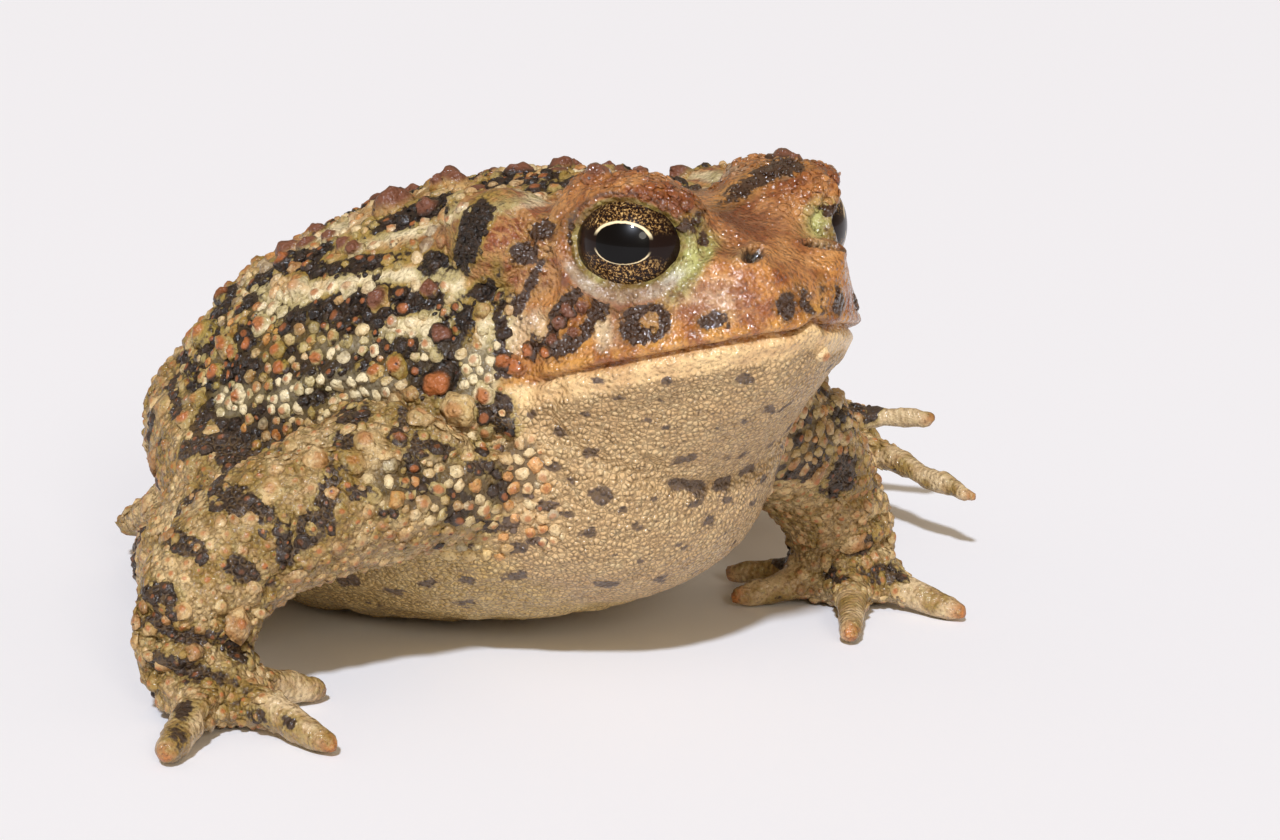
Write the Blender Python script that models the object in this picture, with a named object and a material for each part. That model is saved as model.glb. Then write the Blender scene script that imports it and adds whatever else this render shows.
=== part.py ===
"""American toad, life size, resting on its belly and hands with the head raised.

Metres, +Z up. The toad faces -Y, its left side is +X, and the floor is z = 0.
The driving sizes below are millimetres. The body is modelled whole from lofts, tubes and
ellipsoids, fused by a voxel remesh, and then parted at its joints by thin curved cuts.
"""

import math
import random

import bmesh
import bpy
from mathutils import Matrix, Vector
from mathutils.bvhtree import BVHTree

MM = 0.001
GAP = 0.3
TRUNK_VOXEL = 0.52
LIMB_VOXEL = 0.45
TRUNK_TRIANGLES = 4200
ARM_TRIANGLES = 850
LEG_TRIANGLES = 800

# Stations along the back from chest to vent: (y, half width, bottom z, widest z, top z).
TRUNK_STATIONS = [
    (-19.6, 8.0, 13.6, 22.0, 31.0),
    (-16.0, 12.6, 8.4, 22.5, 37.5),
    (-10.0, 17.6, 5.4, 21.5, 41.0),
    (-4.0, 20.8, 3.1, 19.5, 41.2),
    (3.0, 23.2, 1.4, 18.0, 40.4),
    (10.0, 24.8, 0.1, 16.5, 38.8),
    (18.0, 24.6, -0.8, 15.5, 35.8),
    (26.0, 21.4, -0.5, 15.0, 31.6),
    (34.0, 15.2, 2.6, 14.5, 26.0),
    (40.5, 8.2, 6.4, 14.0, 20.8),
    (43.4, 3.2, 10.5, 14.2, 17.4),
]
TRUNK_ROUNDNESS = 2.2
HEAD_STATIONS = [
    (-30.5, 2.8, 32.0, 33.2, 34.6),
    (-29.9, 4.8, 31.4, 33.0, 35.8),
    (-28.2, 7.2, 30.6, 32.6, 37.4),
    (-25.5, 9.6, 29.4, 31.8, 38.6),
    (-21.0, 12.3, 27.8, 30.8, 39.8),
    (-16.5, 14.3, 25.6, 30.2, 40.6),
    (-12.0, 15.6, 23.0, 29.4, 41.0),
    (-7.0, 16.4, 21.0, 28.6, 41.0),
]
HEAD_ROUNDNESS = 2.05
JAW_STATIONS = [
    (-29.5, 2.8, 29.6, 31.2, 32.6),
    (-28.4, 5.2, 27.2, 30.6, 32.2),
    (-26.2, 7.6, 24.4, 29.8, 31.6),
    (-23.2, 9.8, 21.2, 28.8, 30.6),
    (-20.0, 12.2, 18.2, 27.4, 29.8),
    (-16.0, 14.4, 15.4, 26.0, 29.0),
    (-11.0, 16.4, 12.0, 24.0, 28.0),
]
JAW_ROUNDNESS = 1.75
SECTION_POINTS = 32

# Cuts seen from the side, as (y, z): the mouth runs forward from its corner, the neck up, the throat down.
MOUTH_FRONT = (-33.0, 32.95)
MOUTH_CORNER = (-14.4, 26.75)
NECK_TOP = (-4.5, 47.0)
THROAT_FOLD = (-22.4, 13.2)
CUT_HALF_WIDTH = 24.0

# Eyes
EYE_CENTRE = (8.95, -18.75, 38.25)
EYE_RADIUS = 4.75
ORBIT_WALL = 0.65

# The lids lie on the eyeball. Their opening is an oval cone from the middle of the eye.
RIM_OUTWARD_DEG, RIM_UP_DEG = 57.0, 7.0
RIM_WIDE_DEG, RIM_HIGH_DEG = 63.0, 43.5
RIM_DEPTH = 5.6
LID_MARGIN_DEG = 6.5
LID_DISTANCE = 5.2
LID_THICK = 0.45
LID_THICK_ABOVE = 0.45
LID_STEPS = 24
SOCKET_CLEARANCE = 6.4
BROW_CENTRE, BROW_RADII, BROW_LEAN_DEG = (7.8, -18.7, 41.0), (3.8, 5.4, 2.5), -14.0

# Ridges of the left side of the head, each through (x, y, z, radius).
HEAD_RIDGES = {
    "crest": [(9.8, -13.9, 42.0, 1.5), (12.2, -14.3, 39.9, 1.4), (13.2, -15.4, 37.2, 1.2), (13.6, -16.8, 34.2, 0.9)],
    "inner_crest": [(2.8, -24.6, 38.6, 0.9), (3.8, -20.6, 40.2, 1.1), (4.8, -16.4, 41.4, 1.3), (8.6, -13.6, 42.0, 1.4)],
    "snout_edge": [(8.2, -24.2, 36.6, 0.9), (5.8, -26.4, 36.8, 1.4), (3.4, -28.4, 36.2, 1.5)],
    "upper_lip": [
        (14.2, -15.4, 28.2, 1.1),
        (12.6, -20.0, 29.5, 1.2),
        (9.9, -24.2, 31.0, 1.3),
        (6.4, -27.4, 32.3, 1.25),
        (2.0, -28.9, 33.2, 1.2),
    ],
    "jaw_edge": [
        (14.2, -15.6, 25.4, 1.1),
        (12.0, -20.0, 26.9, 1.2),
        (9.3, -24.0, 28.5, 1.15),
        (6.0, -27.0, 30.0, 1.0),
        (1.8, -28.7, 31.0, 1.0),
    ],
}

# Nostril pits and ear drums
NOSTRIL_AIM = (2.5, -26.0, 37.5)
NOSTRIL_RADII = (0.65, 0.5, 1.3)
NOSTRIL_INWARD = (0.68, 0.70, -0.21)
EAR_AIM = (12.0, -14.0, 34.4)
EAR_DISH_RADII = (1.8, 2.3, 0.4)
EAR_DRUM_RADII = (1.4, 1.9, 0.38)
EAR_INWARD = (1.0, 0.0, -0.1)
AIM_DISTANCE = 20.0

# Gland: an oval pad on each shoulder, behind the eye.
PAROTOID_CENTRE = (12.4, -8.4, 37.0)
PAROTOID_RADII = (4.3, 7.2, 3.9)
PAROTOID_TURN_DEG, PAROTOID_DIP_DEG = -8.0, 10.0

# Limbs. Each has its own points, because the pose isn't even.
ARM_RADII = [6.4, 6.4, 5.8, 5.3, 4.8, 4.3]
LEFT_ARM = [
    (13.0, -6.6, 19.4),
    (18.5, -6.6, 17.8),
    (23.7, -6.2, 15.4),
    (27.6, -6.0, 11.6),
    (30.0, -6.2, 8.0),
    (31.3, -6.6, 4.6),
]
RIGHT_ARM = [
    (-14.0, -6.4, 18.6),
    (-22.5, -4.8, 17.6),
    (-29.6, -2.6, 15.4),
    (-35.4, -0.8, 12.0),
    (-38.6, -0.8, 8.2),
    (-39.2, -1.6, 4.6),
]
LEFT_PALM = (31.4, -7.4, 2.1)
RIGHT_PALM = (-38.4, -3.4, 2.1)
PALM_RADII = (4.7, 4.2, 2.4)
WRIST_RADII = [4.2, 3.4, 2.2]
WRIST_REACH = 0.6
FINGER_RADII = [2.0, 1.7, 1.5, 1.4, 1.3]
LEFT_FINGERS = [(26.0, 3.0), (20.5, -3.2), (19.6, -18.4), (33.9, -18.7)]
RIGHT_FINGERS = [(-30.5, 3.6), (-28.7, -5.0), (-37.3, -17.0), (-49.5, -12.0)]
FINGER_STEPS = [0.24, 0.45, 0.66, 0.84, 1.0]
FINGER_ARCH = [0.5, 0.5, 0.3, 0.1, 0.0]
FINGER_CUT = 0.5
TIP_SINK = 0.3

LEFT_THIGH = [(8.0, 31.0, 16.0), (16.0, 27.0, 15.8), (24.0, 20.5, 14.5), (30.0, 14.5, 12.8)]
RIGHT_THIGH = [(-8.0, 31.0, 16.0), (-14.5, 26.0, 16.0), (-20.6, 17.6, 14.6), (-24.8, 9.4, 12.2)]
THIGH_RADII = [8.0, 7.8, 6.8, 5.4]
LEFT_SHANK = [(30.0, 14.5, 12.8), (34.5, 21.0, 10.6), (38.8, 29.0, 8.4), (41.5, 35.0, 7.2)]
RIGHT_SHANK = [(-24.8, 9.4, 12.2), (-27.0, 12.5, 9.4), (-27.0, 17.0, 6.8), (-25.6, 20.5, 5.6)]
SHANK_RADII = [5.2, 5.0, 3.9, 2.9]
LEFT_TARSUS = [(41.5, 35.0, 7.2), (46.0, 32.0, 7.4), (51.0, 27.0, 8.2), (55.0, 22.5, 9.2)]
RIGHT_TARSUS = [(-25.6, 20.5, 5.6), (-23.0, 24.4, 5.2), (-19.6, 28.4, 6.0), (-16.4, 31.6, 7.8)]
TARSUS_RADII = [2.9, 2.7, 2.6, 2.5]
LEFT_TOES = [(46.0, 20.6, 6.2), (42.6, 15.2, 5.0), (43.8, 4.4, 5.0), (52.6, -3.4, 6.0), (61.7, 10.3, 10.4)]
RIGHT_TOES = [(-13.4, 36.6, 5.6), (-12.8, 38.8, 5.2), (-14.0, 40.6, 4.2), (-15.8, 40.8, 3.6), (-17.2, 36.4, 5.6)]
TOE_RADII = [1.9, 1.7, 1.5, 1.25, 1.15]
TOE_STEPS = [0.0, 0.3, 0.55, 0.8, 1.0]
TOE_CUT = 0.5
WEB_THICK = 1.2
WEB_SHARE = 0.34

# Radii of the thin discs that part the limbs, and where along the arm they sit.
ELBOW_SHARE, ELBOW_CUT = 0.52, 9.0
WRIST_SHARE, WRIST_CUT = 0.93, 5.8
KNEE_CUT = 11.5
ANKLE_CUT = 7.0
DIGIT_CUT = 2.3
BEYOND_CUT = 0.8

# Larger warts as (x, y, radius) seen from above, then (y, z, radius) seen from the side.
BACK_WARTS = [
    (3.4, -4.0, 1.4), (7.6, 0.6, 1.3), (3.2, 3.0, 1.5), (11.6, 3.4, 1.4), (6.4, 6.4, 1.6), (14.6, 7.4, 1.3),
    (3.6, 10.6, 1.5), (10.4, 10.4, 1.5), (16.6, 13.2, 1.3), (6.4, 15.6, 1.5), (12.2, 17.2, 1.4), (3.2, 20.2, 1.3),
    (8.8, 22.2, 1.4), (15.4, 21.4, 1.2), (5.0, 27.2, 1.3), (11.4, 27.4, 1.2), (4.2, 33.0, 1.1), (18.4, 6.0, 1.2),
]
FLANK_WARTS = [
    (-9.0, 31.4, 1.4), (-5.4, 28.2, 1.3), (-11.2, 27.2, 1.5), (-1.2, 32.0, 1.3), (2.6, 27.6, 1.3), (7.4, 29.2, 1.2),
    (11.4, 24.8, 1.3), (16.4, 26.0, 1.2), (20.6, 22.0, 1.2), (6.6, 23.2, 1.1), (-2.0, 24.2, 1.2), (25.0, 23.6, 1.1),
]
WART_RISE = 0.75
WART_SINK = 0.6
WART_SIDES = 6
WART_ROOM = 1.2
WART_SEED = 7
WART_START = 60.0
OTHER_SIDE_SHIFT = 1.3
SHARP_DEG = 38.0

# A point inside each piece of the trunk, once it is parted.
TRUNK_PARTS = {"torso": (0, 12, 20), "head": (0, -20, 36), "lower_jaw": (0, -22, 25)}

COLOURS = {
    "skin_back": ((0.30, 0.17, 0.08), 0.48),
    "skin_belly": ((0.62, 0.47, 0.27), 0.55),
    "skin_limb": ((0.45, 0.32, 0.17), 0.52),
    "digit": ((0.52, 0.36, 0.20), 0.48),
    "eye": ((0.02, 0.015, 0.01), 0.06),
}


def clear_scene():
    for obj in list(bpy.data.objects):
        bpy.data.objects.remove(obj, do_unlink=True)


def vec(point):
    return Vector(point) * MM


def sided(point, side):
    return (point[0] * side, *point[1:])


def toward(a, b, share):
    return tuple(p + (q - p) * share for p, q in zip(a, b))


def new_object(name, bm):
    mesh = bpy.data.meshes.new(name)
    bm.to_mesh(mesh)
    bm.free()
    obj = bpy.data.objects.new(name, mesh)
    bpy.context.scene.collection.objects.link(obj)
    return obj


def apply_modifiers(obj):
    graph = bpy.context.evaluated_depsgraph_get()
    mesh = bpy.data.meshes.new_from_object(obj.evaluated_get(graph))
    obj.modifiers.clear()
    old = obj.data
    obj.data = mesh
    bpy.data.meshes.remove(old)


def smooth_curve(points, steps):
    """Points along a Catmull-Rom curve through tuples of any length, steps to each span."""
    ends = [points[0], *points, points[-1]]
    made = []
    for i in range(1, len(ends) - 2):
        span = ends[i - 1 : i + 3]
        for k in range(steps):
            t = k / steps
            made.append(tuple(catmull_rom(*values, t) for values in zip(*span)))
    made.append(tuple(points[-1]))
    return made


def catmull_rom(a, b, c, d, t):
    return 0.5 * (2 * b + (c - a) * t + (2 * a - 5 * b + 4 * c - d) * t**2 + (3 * b - a - 3 * c + d) * t**3)


def rings_to_solid(name, rings):
    """A closed solid from rings of points: neighbours bridged, ends closed by a fan to their middle."""
    bm = bmesh.new()
    loops = [[bm.verts.new(p) for p in ring] for ring in rings]
    for first, second in zip(loops, loops[1:]):
        for i in range(len(first)):
            j = (i + 1) % len(first)
            bm.faces.new((first[i], first[j], second[j], second[i]))
    for loop in (loops[0], loops[-1]):
        middle = bm.verts.new(sum((v.co for v in loop), Vector()) / len(loop))
        for i in range(len(loop)):
            bm.faces.new((loop[i], loop[(i + 1) % len(loop)], middle))
    bmesh.ops.recalc_face_normals(bm, faces=bm.faces)
    return new_object(name, bm)


def section(station, roundness):
    """One cross-section: an oval whose widest line lies at its own height."""
    y, half_width, low, wide, high = station
    ring = []
    power = 2.0 / roundness
    for i in range(SECTION_POINTS):
        angle = 2 * math.pi * i / SECTION_POINTS
        across, upward = math.cos(angle), math.sin(angle)
        height = (high - wide) if upward > 0 else (wide - low)
        x = half_width * math.copysign(abs(across) ** power, across)
        z = wide + height * math.copysign(abs(upward) ** power, upward)
        ring.append(vec((x, y, z)))
    return ring


def loft(name, stations, roundness):
    return rings_to_solid(name, [section(s, roundness) for s in smooth_curve(stations, 4)])


def ellipsoid(name, centre, radii, turn=None, segments=24):
    bm = bmesh.new()
    bmesh.ops.create_uvsphere(bm, u_segments=segments, v_segments=segments * 7 // 12, radius=1.0)
    matrix = Matrix.Translation(vec(centre)) @ (turn or Matrix()) @ Matrix.Diagonal((*[r * MM for r in radii], 1))
    bmesh.ops.transform(bm, matrix=matrix, verts=bm.verts)
    return new_object(name, bm)


def tube(name, points, radii, sides=16):
    """A round limb along a smooth curve, its radius easing from point to point, with domed ends."""
    path = smooth_curve([(*p, r) for p, r in zip(points, radii)], 5)
    frames = []
    for i, node in enumerate(path):
        before = Vector(path[max(i - 1, 0)][:3])
        after = Vector(path[min(i + 1, len(path) - 1)][:3])
        along = (after - before).normalized()
        side = along.cross(Vector((0, 0, 1)))
        side = side.normalized() if side.length > 0.05 else Vector((1, 0, 0))
        frames.append((Vector(node[:3]), along, side, side.cross(along).normalized(), node[3]))
    dome = [math.radians(a) for a in (75, 50, 25)]
    rings = [tube_ring(frames[0], -a, sides) for a in dome]
    rings += [tube_ring(frame, 0.0, sides) for frame in frames]
    rings += [tube_ring(frames[-1], a, sides) for a in reversed(dome)]
    return rings_to_solid(name, rings)


def tube_ring(frame, dome_angle, sides):
    centre, along, side, up, radius = frame
    middle = centre + along * radius * math.sin(dome_angle)
    reach = radius * math.cos(dome_angle)
    turns = [2 * math.pi * k / sides for k in range(sides)]
    return [(middle + side * reach * math.cos(a) + up * reach * math.sin(a)) * MM for a in turns]


def rim_axis(side):
    out, up = math.radians(RIM_OUTWARD_DEG), math.radians(RIM_UP_DEG)
    return Vector((side * math.sin(out) * math.cos(up), -math.cos(out) * math.cos(up), math.sin(up)))


def rim_turn(side):
    """The turn that lays a flat ring across the eye: its X level, its Y up and its Z out of the eye."""
    return rim_axis(side).to_track_quat("Z", "Y").to_matrix()


def lid_ring(side):
    """A roll of skin round the eye, thicker over its top."""
    turn = rim_turn(side)
    points, radii = [], []
    for k in range(LID_STEPS + 1):
        angle = 2 * math.pi * k / LID_STEPS
        level, above = math.cos(angle), math.sin(angle)
        spread = math.radians(LID_MARGIN_DEG + math.hypot(RIM_WIDE_DEG * level, RIM_HIGH_DEG * above))
        reach = math.sin(spread)
        local = Vector((level * reach, above * reach, math.cos(spread)))
        points.append(tuple(Vector(sided(EYE_CENTRE, side)) + turn @ local * LID_DISTANCE))
        radii.append(LID_THICK + LID_THICK_ABOVE * max(above, 0))
    return tube("lids", points, radii, 10)


def eye_window(side):
    """A cone from the middle of the eye that clears the opening between the lids."""
    bm = bmesh.new()
    bmesh.ops.create_cone(bm, cap_ends=True, segments=28, radius1=0.0, radius2=1.0, depth=1.0)
    wide = math.tan(math.radians(RIM_WIDE_DEG)) * RIM_DEPTH
    high = math.tan(math.radians(RIM_HIGH_DEG)) * RIM_DEPTH
    matrix = Matrix.Translation(vec(sided(EYE_CENTRE, side))) @ rim_turn(side).to_4x4()
    matrix = matrix @ Matrix.Diagonal((wide * MM, high * MM, RIM_DEPTH * MM, 1)) @ Matrix.Translation((0, 0, 0.5))
    bmesh.ops.transform(bm, matrix=matrix, verts=bm.verts)
    bmesh.ops.remove_doubles(bm, verts=bm.verts, dist=1e-6)
    bmesh.ops.recalc_face_normals(bm, faces=bm.faces)
    return new_object("window", bm)


def head_pieces(side):
    """What stands on one side of the head: orbit, brow, lids, ridges, lips and gland."""
    lean = Matrix.Rotation(math.radians(BROW_LEAN_DEG * side), 4, "Y")
    lie = Matrix.Rotation(math.radians(PAROTOID_TURN_DEG * side), 4, "Z")
    lie = lie @ Matrix.Rotation(math.radians(PAROTOID_DIP_DEG), 4, "X")
    made = [
        ellipsoid("orbit", sided(EYE_CENTRE, side), [EYE_RADIUS + ORBIT_WALL] * 3),
        ellipsoid("brow", sided(BROW_CENTRE, side), BROW_RADII, lean),
        lid_ring(side),
        ellipsoid("parotoid", sided(PAROTOID_CENTRE, side), PAROTOID_RADII, lie),
    ]
    for name, ridge in HEAD_RIDGES.items():
        made.append(tube(name, [sided(p[:3], side) for p in ridge], [p[3] for p in ridge]))
    return made


def hand_pieces(tag, palm, tips, wrist):
    made = [ellipsoid(f"palm_{tag}", palm, PALM_RADII)]
    made.append(tube(f"wrist_{tag}", [wrist, toward(wrist, palm, WRIST_REACH), palm], WRIST_RADII))
    for n, (x, y) in enumerate(tips, 1):
        tip = (x, y, FINGER_RADII[-1] - TIP_SINK)
        points = [toward(palm, tip, share) for share in FINGER_STEPS]
        raised = [(p[0], p[1], p[2] + lift) for p, lift in zip(points, FINGER_ARCH)]
        made.append(tube(f"finger_{tag}_{n}", raised, FINGER_RADII, 14))
    return made


def foot_pieces(tag, root, tips):
    made = []
    for n, tip in enumerate(tips, 1):
        made.append(tube(f"toe_{tag}_{n}", [toward(root, tip, share) for share in TOE_STEPS], TOE_RADII, 14))
    for n, (first, second) in enumerate(zip(tips, tips[1:]), 1):
        made.append(web(f"web_{tag}_{n}", root, toward(root, first, WEB_SHARE), toward(root, second, WEB_SHARE)))
    return made


def web(name, root, first, second):
    """A thin three-cornered sheet between two toes."""
    corners = [vec(root), vec(first), vec(second)]
    half = (corners[1] - corners[0]).cross(corners[2] - corners[0]).normalized() * WEB_THICK * MM / 2
    bm = bmesh.new()
    lower = [bm.verts.new(c - half) for c in corners]
    upper = [bm.verts.new(c + half) for c in corners]
    bm.faces.new(lower)
    bm.faces.new(upper)
    for i in range(3):
        j = (i + 1) % 3
        bm.faces.new((lower[i], lower[j], upper[j], upper[i]))
    bmesh.ops.recalc_face_normals(bm, faces=bm.faces)
    return new_object(name, bm)


def fuse(name, pieces, voxel, smooth_passes, triangles):
    """One closed form from overlapping pieces, eased at its creases and thinned to few triangles."""
    bm = bmesh.new()
    for piece in pieces:
        bm.from_mesh(piece.data)
        bpy.data.objects.remove(piece, do_unlink=True)
    form = new_object(name, bm)
    remesh = form.modifiers.new("fuse", "REMESH")
    remesh.mode = "VOXEL"
    remesh.voxel_size = voxel * MM
    apply_modifiers(form)
    largest_shell(form)
    soften(form, smooth_passes)
    press_flat(form)
    thin = form.modifiers.new("thin", "DECIMATE")
    form.data.calc_loop_triangles()
    thin.ratio = triangles / len(form.data.loop_triangles)
    thin.use_collapse_triangulate = True
    apply_modifiers(form)
    press_flat(form)
    return form


def shells_of(bm):
    """The separate closed surfaces of a mesh, largest first."""
    seen, shells = set(), []
    for start in bm.faces:
        if start in seen:
            continue
        shell, todo = [], [start]
        seen.add(start)
        while todo:
            face = todo.pop()
            shell.append(face)
            for edge in face.edges:
                for other in edge.link_faces:
                    if other not in seen:
                        seen.add(other)
                        todo.append(other)
        shells.append(shell)
    shells.sort(key=lambda shell: sum(face.calc_area() for face in shell), reverse=True)
    return shells


def largest_shell(obj):
    bm = bmesh.new()
    bm.from_mesh(obj.data)
    loose = [face for shell in shells_of(bm)[1:] for face in shell]
    bmesh.ops.delete(bm, geom=loose, context="FACES")
    bm.to_mesh(obj.data)
    bm.free()


def soften(obj, passes):
    """Eases creases, with fewer passes around the eyes."""
    bm = bmesh.new()
    bm.from_mesh(obj.data)
    eyes = [vec(sided(EYE_CENTRE, side)) for side in (1, -1)]
    broad = [v for v in bm.verts if all((v.co - eye).length > SOCKET_CLEARANCE * MM for eye in eyes)]
    for n in range(passes):
        chosen = bm.verts if n < 2 else broad
        bmesh.ops.smooth_vert(bm, verts=chosen, factor=0.5, use_axis_x=True, use_axis_y=True, use_axis_z=True)
    bm.to_mesh(obj.data)
    bm.free()


def press_flat(obj):
    """Whatever would reach under the floor is pressed flat on it."""
    for vertex in obj.data.vertices:
        vertex.co.z = max(vertex.co.z, 0.0)


def boolean(obj, other, operation):
    modifier = obj.modifiers.new(operation.lower(), "BOOLEAN")
    modifier.operation = operation
    modifier.solver = "EXACT"
    if isinstance(other, bpy.types.Collection):
        modifier.operand_type = "COLLECTION"
        modifier.collection = other
    else:
        modifier.object = other
    apply_modifiers(obj)


def subtract(obj, cutters):
    """Cuts each of the cutters out of obj and removes them."""
    for cutter in cutters:
        boolean(obj, cutter, "DIFFERENCE")
        bpy.data.objects.remove(cutter, do_unlink=True)


def disc_cut(point, along, radius):
    """A thin disc across a limb."""
    bm = bmesh.new()
    bmesh.ops.create_cone(bm, cap_ends=True, segments=20, radius1=radius * MM, radius2=radius * MM, depth=GAP * MM)
    turn = Vector(along).to_track_quat("Z", "Y").to_matrix().to_4x4()
    bmesh.ops.transform(bm, matrix=Matrix.Translation(vec(point)) @ turn, verts=bm.verts)
    return new_object("disc", bm)


def jaw_cut():
    """One thin sheet with three arms that meet at the corner of the mouth."""
    centre = Vector(MOUTH_CORNER)
    arms = sorted(
        ((Vector(end) - centre for end in (MOUTH_FRONT, NECK_TOP, THROAT_FOLD))),
        key=lambda arm: math.atan2(arm.y, arm.x),
    )
    outline = []
    for arm, following in zip(arms, arms[1:] + arms[:1]):
        across = Vector((-arm.y, arm.x)).normalized() * GAP / 2
        outline += [centre + arm - across, centre + arm + across]
        outline.append(inner_corner(centre, arm, following))
    bm = bmesh.new()
    near = [bm.verts.new(vec((-CUT_HALF_WIDTH, p.x, p.y))) for p in outline]
    far = [bm.verts.new(vec((CUT_HALF_WIDTH, p.x, p.y))) for p in outline]
    bm.faces.new(near)
    bm.faces.new(far)
    for i in range(len(outline)):
        j = (i + 1) % len(outline)
        bm.faces.new((near[i], near[j], far[j], far[i]))
    bmesh.ops.triangulate(bm, faces=bm.faces)
    bmesh.ops.recalc_face_normals(bm, faces=bm.faces)
    return new_object("jaw_cut", bm)


def inner_corner(centre, arm, following):
    """Where the facing sides of two neighbouring arms of the cut meet."""
    half_turn = (math.atan2(following.y, following.x) - math.atan2(arm.y, arm.x)) % (2 * math.pi) / 2
    middle = math.atan2(arm.y, arm.x) + half_turn
    reach = GAP / 2 / math.sin(half_turn)
    return centre + Vector((math.cos(middle), math.sin(middle))) * reach


def wart(point, normal, radius, chance):
    """A low dome with its root under the skin."""
    bm = bmesh.new()
    turn = normal.to_track_quat("Z", "Y").to_matrix()
    squash = chance.uniform(0.85, 1.0)
    start = chance.uniform(0, math.pi)
    levels = [(-WART_SINK, 1.08), (WART_RISE * 0.6, 0.74)]
    rings = []
    for height, share in levels:
        ring = []
        for k in range(WART_SIDES):
            angle = start + 2 * math.pi * k / WART_SIDES
            local = Vector((math.cos(angle) * share, math.sin(angle) * share * squash, height)) * radius * MM
            ring.append(bm.verts.new(point + turn @ local))
        rings.append(ring)
    for first, second in zip(rings, rings[1:]):
        for k in range(WART_SIDES):
            j = (k + 1) % WART_SIDES
            bm.faces.new((first[k], first[j], second[j], second[k]))
    bm.faces.new(rings[0])
    tip = bm.verts.new(point + turn @ Vector((0, 0, WART_RISE * radius * MM)))
    for k in range(WART_SIDES):
        bm.faces.new((rings[-1][k], rings[-1][(k + 1) % WART_SIDES], tip))
    bmesh.ops.triangulate(bm, faces=bm.faces)
    bmesh.ops.recalc_face_normals(bm, faces=bm.faces)
    return new_object("wart", bm)


def add_warts(obj, spots, limbs):
    """Fuses warts into obj, except where a limb lies against it. A spot is (start, direction, radius)."""
    chance = random.Random(WART_SEED)
    graph = bpy.context.evaluated_depsgraph_get()
    surface = BVHTree.FromObject(obj, graph)
    neighbours = [BVHTree.FromObject(limb, graph) for limb in limbs]
    group = bpy.data.collections.new("warts")
    bpy.context.scene.collection.children.link(group)
    for start, direction, radius in spots:
        point, normal, _, _ = surface.ray_cast(start, direction)
        room = (radius + WART_ROOM) * MM
        if any(tree.find_nearest(point, room)[0] is not None for tree in neighbours):
            continue
        dome = wart(point, normal, radius, chance)
        bpy.context.scene.collection.objects.unlink(dome)
        group.objects.link(dome)
    boolean(obj, group, "UNION")
    for dome in list(group.objects):
        bpy.data.objects.remove(dome, do_unlink=True)
    bpy.data.collections.remove(group)


def inflated(obj, distance):
    """A copy of obj with its surface moved out along its normals."""
    copy = bpy.data.objects.new("inflated", obj.data.copy())
    bpy.context.scene.collection.objects.link(copy)
    for vertex, normal in zip(copy.data.vertices, obj.data.vertex_normals):
        vertex.co += normal.vector * distance * MM
    return copy


def split(obj, names):
    """Parts obj into its closed surfaces, each named after the key point that it lies nearest to."""
    bm = bmesh.new()
    bm.from_mesh(obj.data)
    shells = shells_of(bm)[: len(names)]
    bpy.data.objects.remove(obj, do_unlink=True)
    parts = {}
    for shell in shells:
        piece = bmesh.new()
        copies = {}
        for face in shell:
            corners = []
            for v in face.verts:
                if v not in copies:
                    copies[v] = piece.verts.new(v.co)
                corners.append(copies[v])
            piece.faces.new(corners)
        middle = sum((v.co for v in piece.verts), Vector()) / len(piece.verts)
        name = min(names, key=lambda n: (vec(names[n]) - middle).length)
        if name in parts:
            raise ValueError(f"two pieces are nearest to {name}")
        parts[name] = new_object(name, piece)
    if len(parts) < len(names):
        raise ValueError(f"not parted: {sorted(set(names) - set(parts))}")
    return parts


def make_trunk():
    pieces = [
        loft("trunk", TRUNK_STATIONS, TRUNK_ROUNDNESS),
        loft("head_form", HEAD_STATIONS, HEAD_ROUNDNESS),
        loft("jaw_form", JAW_STATIONS, JAW_ROUNDNESS),
    ]
    for side in (1, -1):
        pieces += head_pieces(side)
    return fuse("trunk_form", pieces, TRUNK_VOXEL, 8, TRUNK_TRIANGLES)


def trunk_wart_spots():
    spots = []
    for side in (1, -1):
        for x, y, radius in BACK_WARTS:
            jitter = 0.0 if side > 0 else OTHER_SIDE_SHIFT
            spots.append((vec((side * x, y + jitter, WART_START)), Vector((0, 0, -1)), radius))
        for y, z, radius in FLANK_WARTS:
            jitter = 0.0 if side < 0 else OTHER_SIDE_SHIFT
            spots.append((vec((side * WART_START, y + jitter, z)), Vector((-side, 0, 0)), radius))
    return spots


def make_limb(tag, kind, pieces, triangles):
    return fuse(f"{kind}_{tag}", pieces, LIMB_VOXEL, 4, triangles)


def cut_across(path, share, radius):
    """A disc across a limb's path, at a share of its length."""
    curve = smooth_curve(path, 12)
    i = round(share * (len(curve) - 1))
    return disc_cut(curve[i], Vector(curve[i + 1]) - Vector(curve[i - 1]), radius)


def bend_cut(before, after, radius):
    """A disc that halves the bend where one limb bone's path ends and the next one begins."""
    coming = (Vector(before[-1]) - Vector(before[-2])).normalized()
    going = (Vector(after[1]) - Vector(after[0])).normalized()
    return disc_cut(before[-1], coming + going, radius)


def make_arm(tag, arm, palm, tips, trunk_shell):
    pieces = [tube(f"arm_{tag}", arm, ARM_RADII)] + hand_pieces(tag, palm, tips, arm[-1])
    limb = make_limb(tag, "arm", pieces, ARM_TRIANGLES)
    boolean(limb, trunk_shell, "DIFFERENCE")
    cuts = [cut_across(arm, ELBOW_SHARE, ELBOW_CUT), cut_across(arm, WRIST_SHARE, WRIST_CUT)]
    names = {f"upper_arm_{tag}": arm[1], f"forearm_{tag}": arm[4], f"hand_{tag}": palm}
    for n, (x, y) in enumerate(tips, 1):
        tip = (x, y, palm[2])
        cuts.append(disc_cut(toward(palm, tip, FINGER_CUT), Vector(tip) - Vector(palm), DIGIT_CUT))
        names[f"finger_{n}_{tag}"] = toward(palm, tip, BEYOND_CUT)
    subtract(limb, cuts)
    return split(limb, names)


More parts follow.
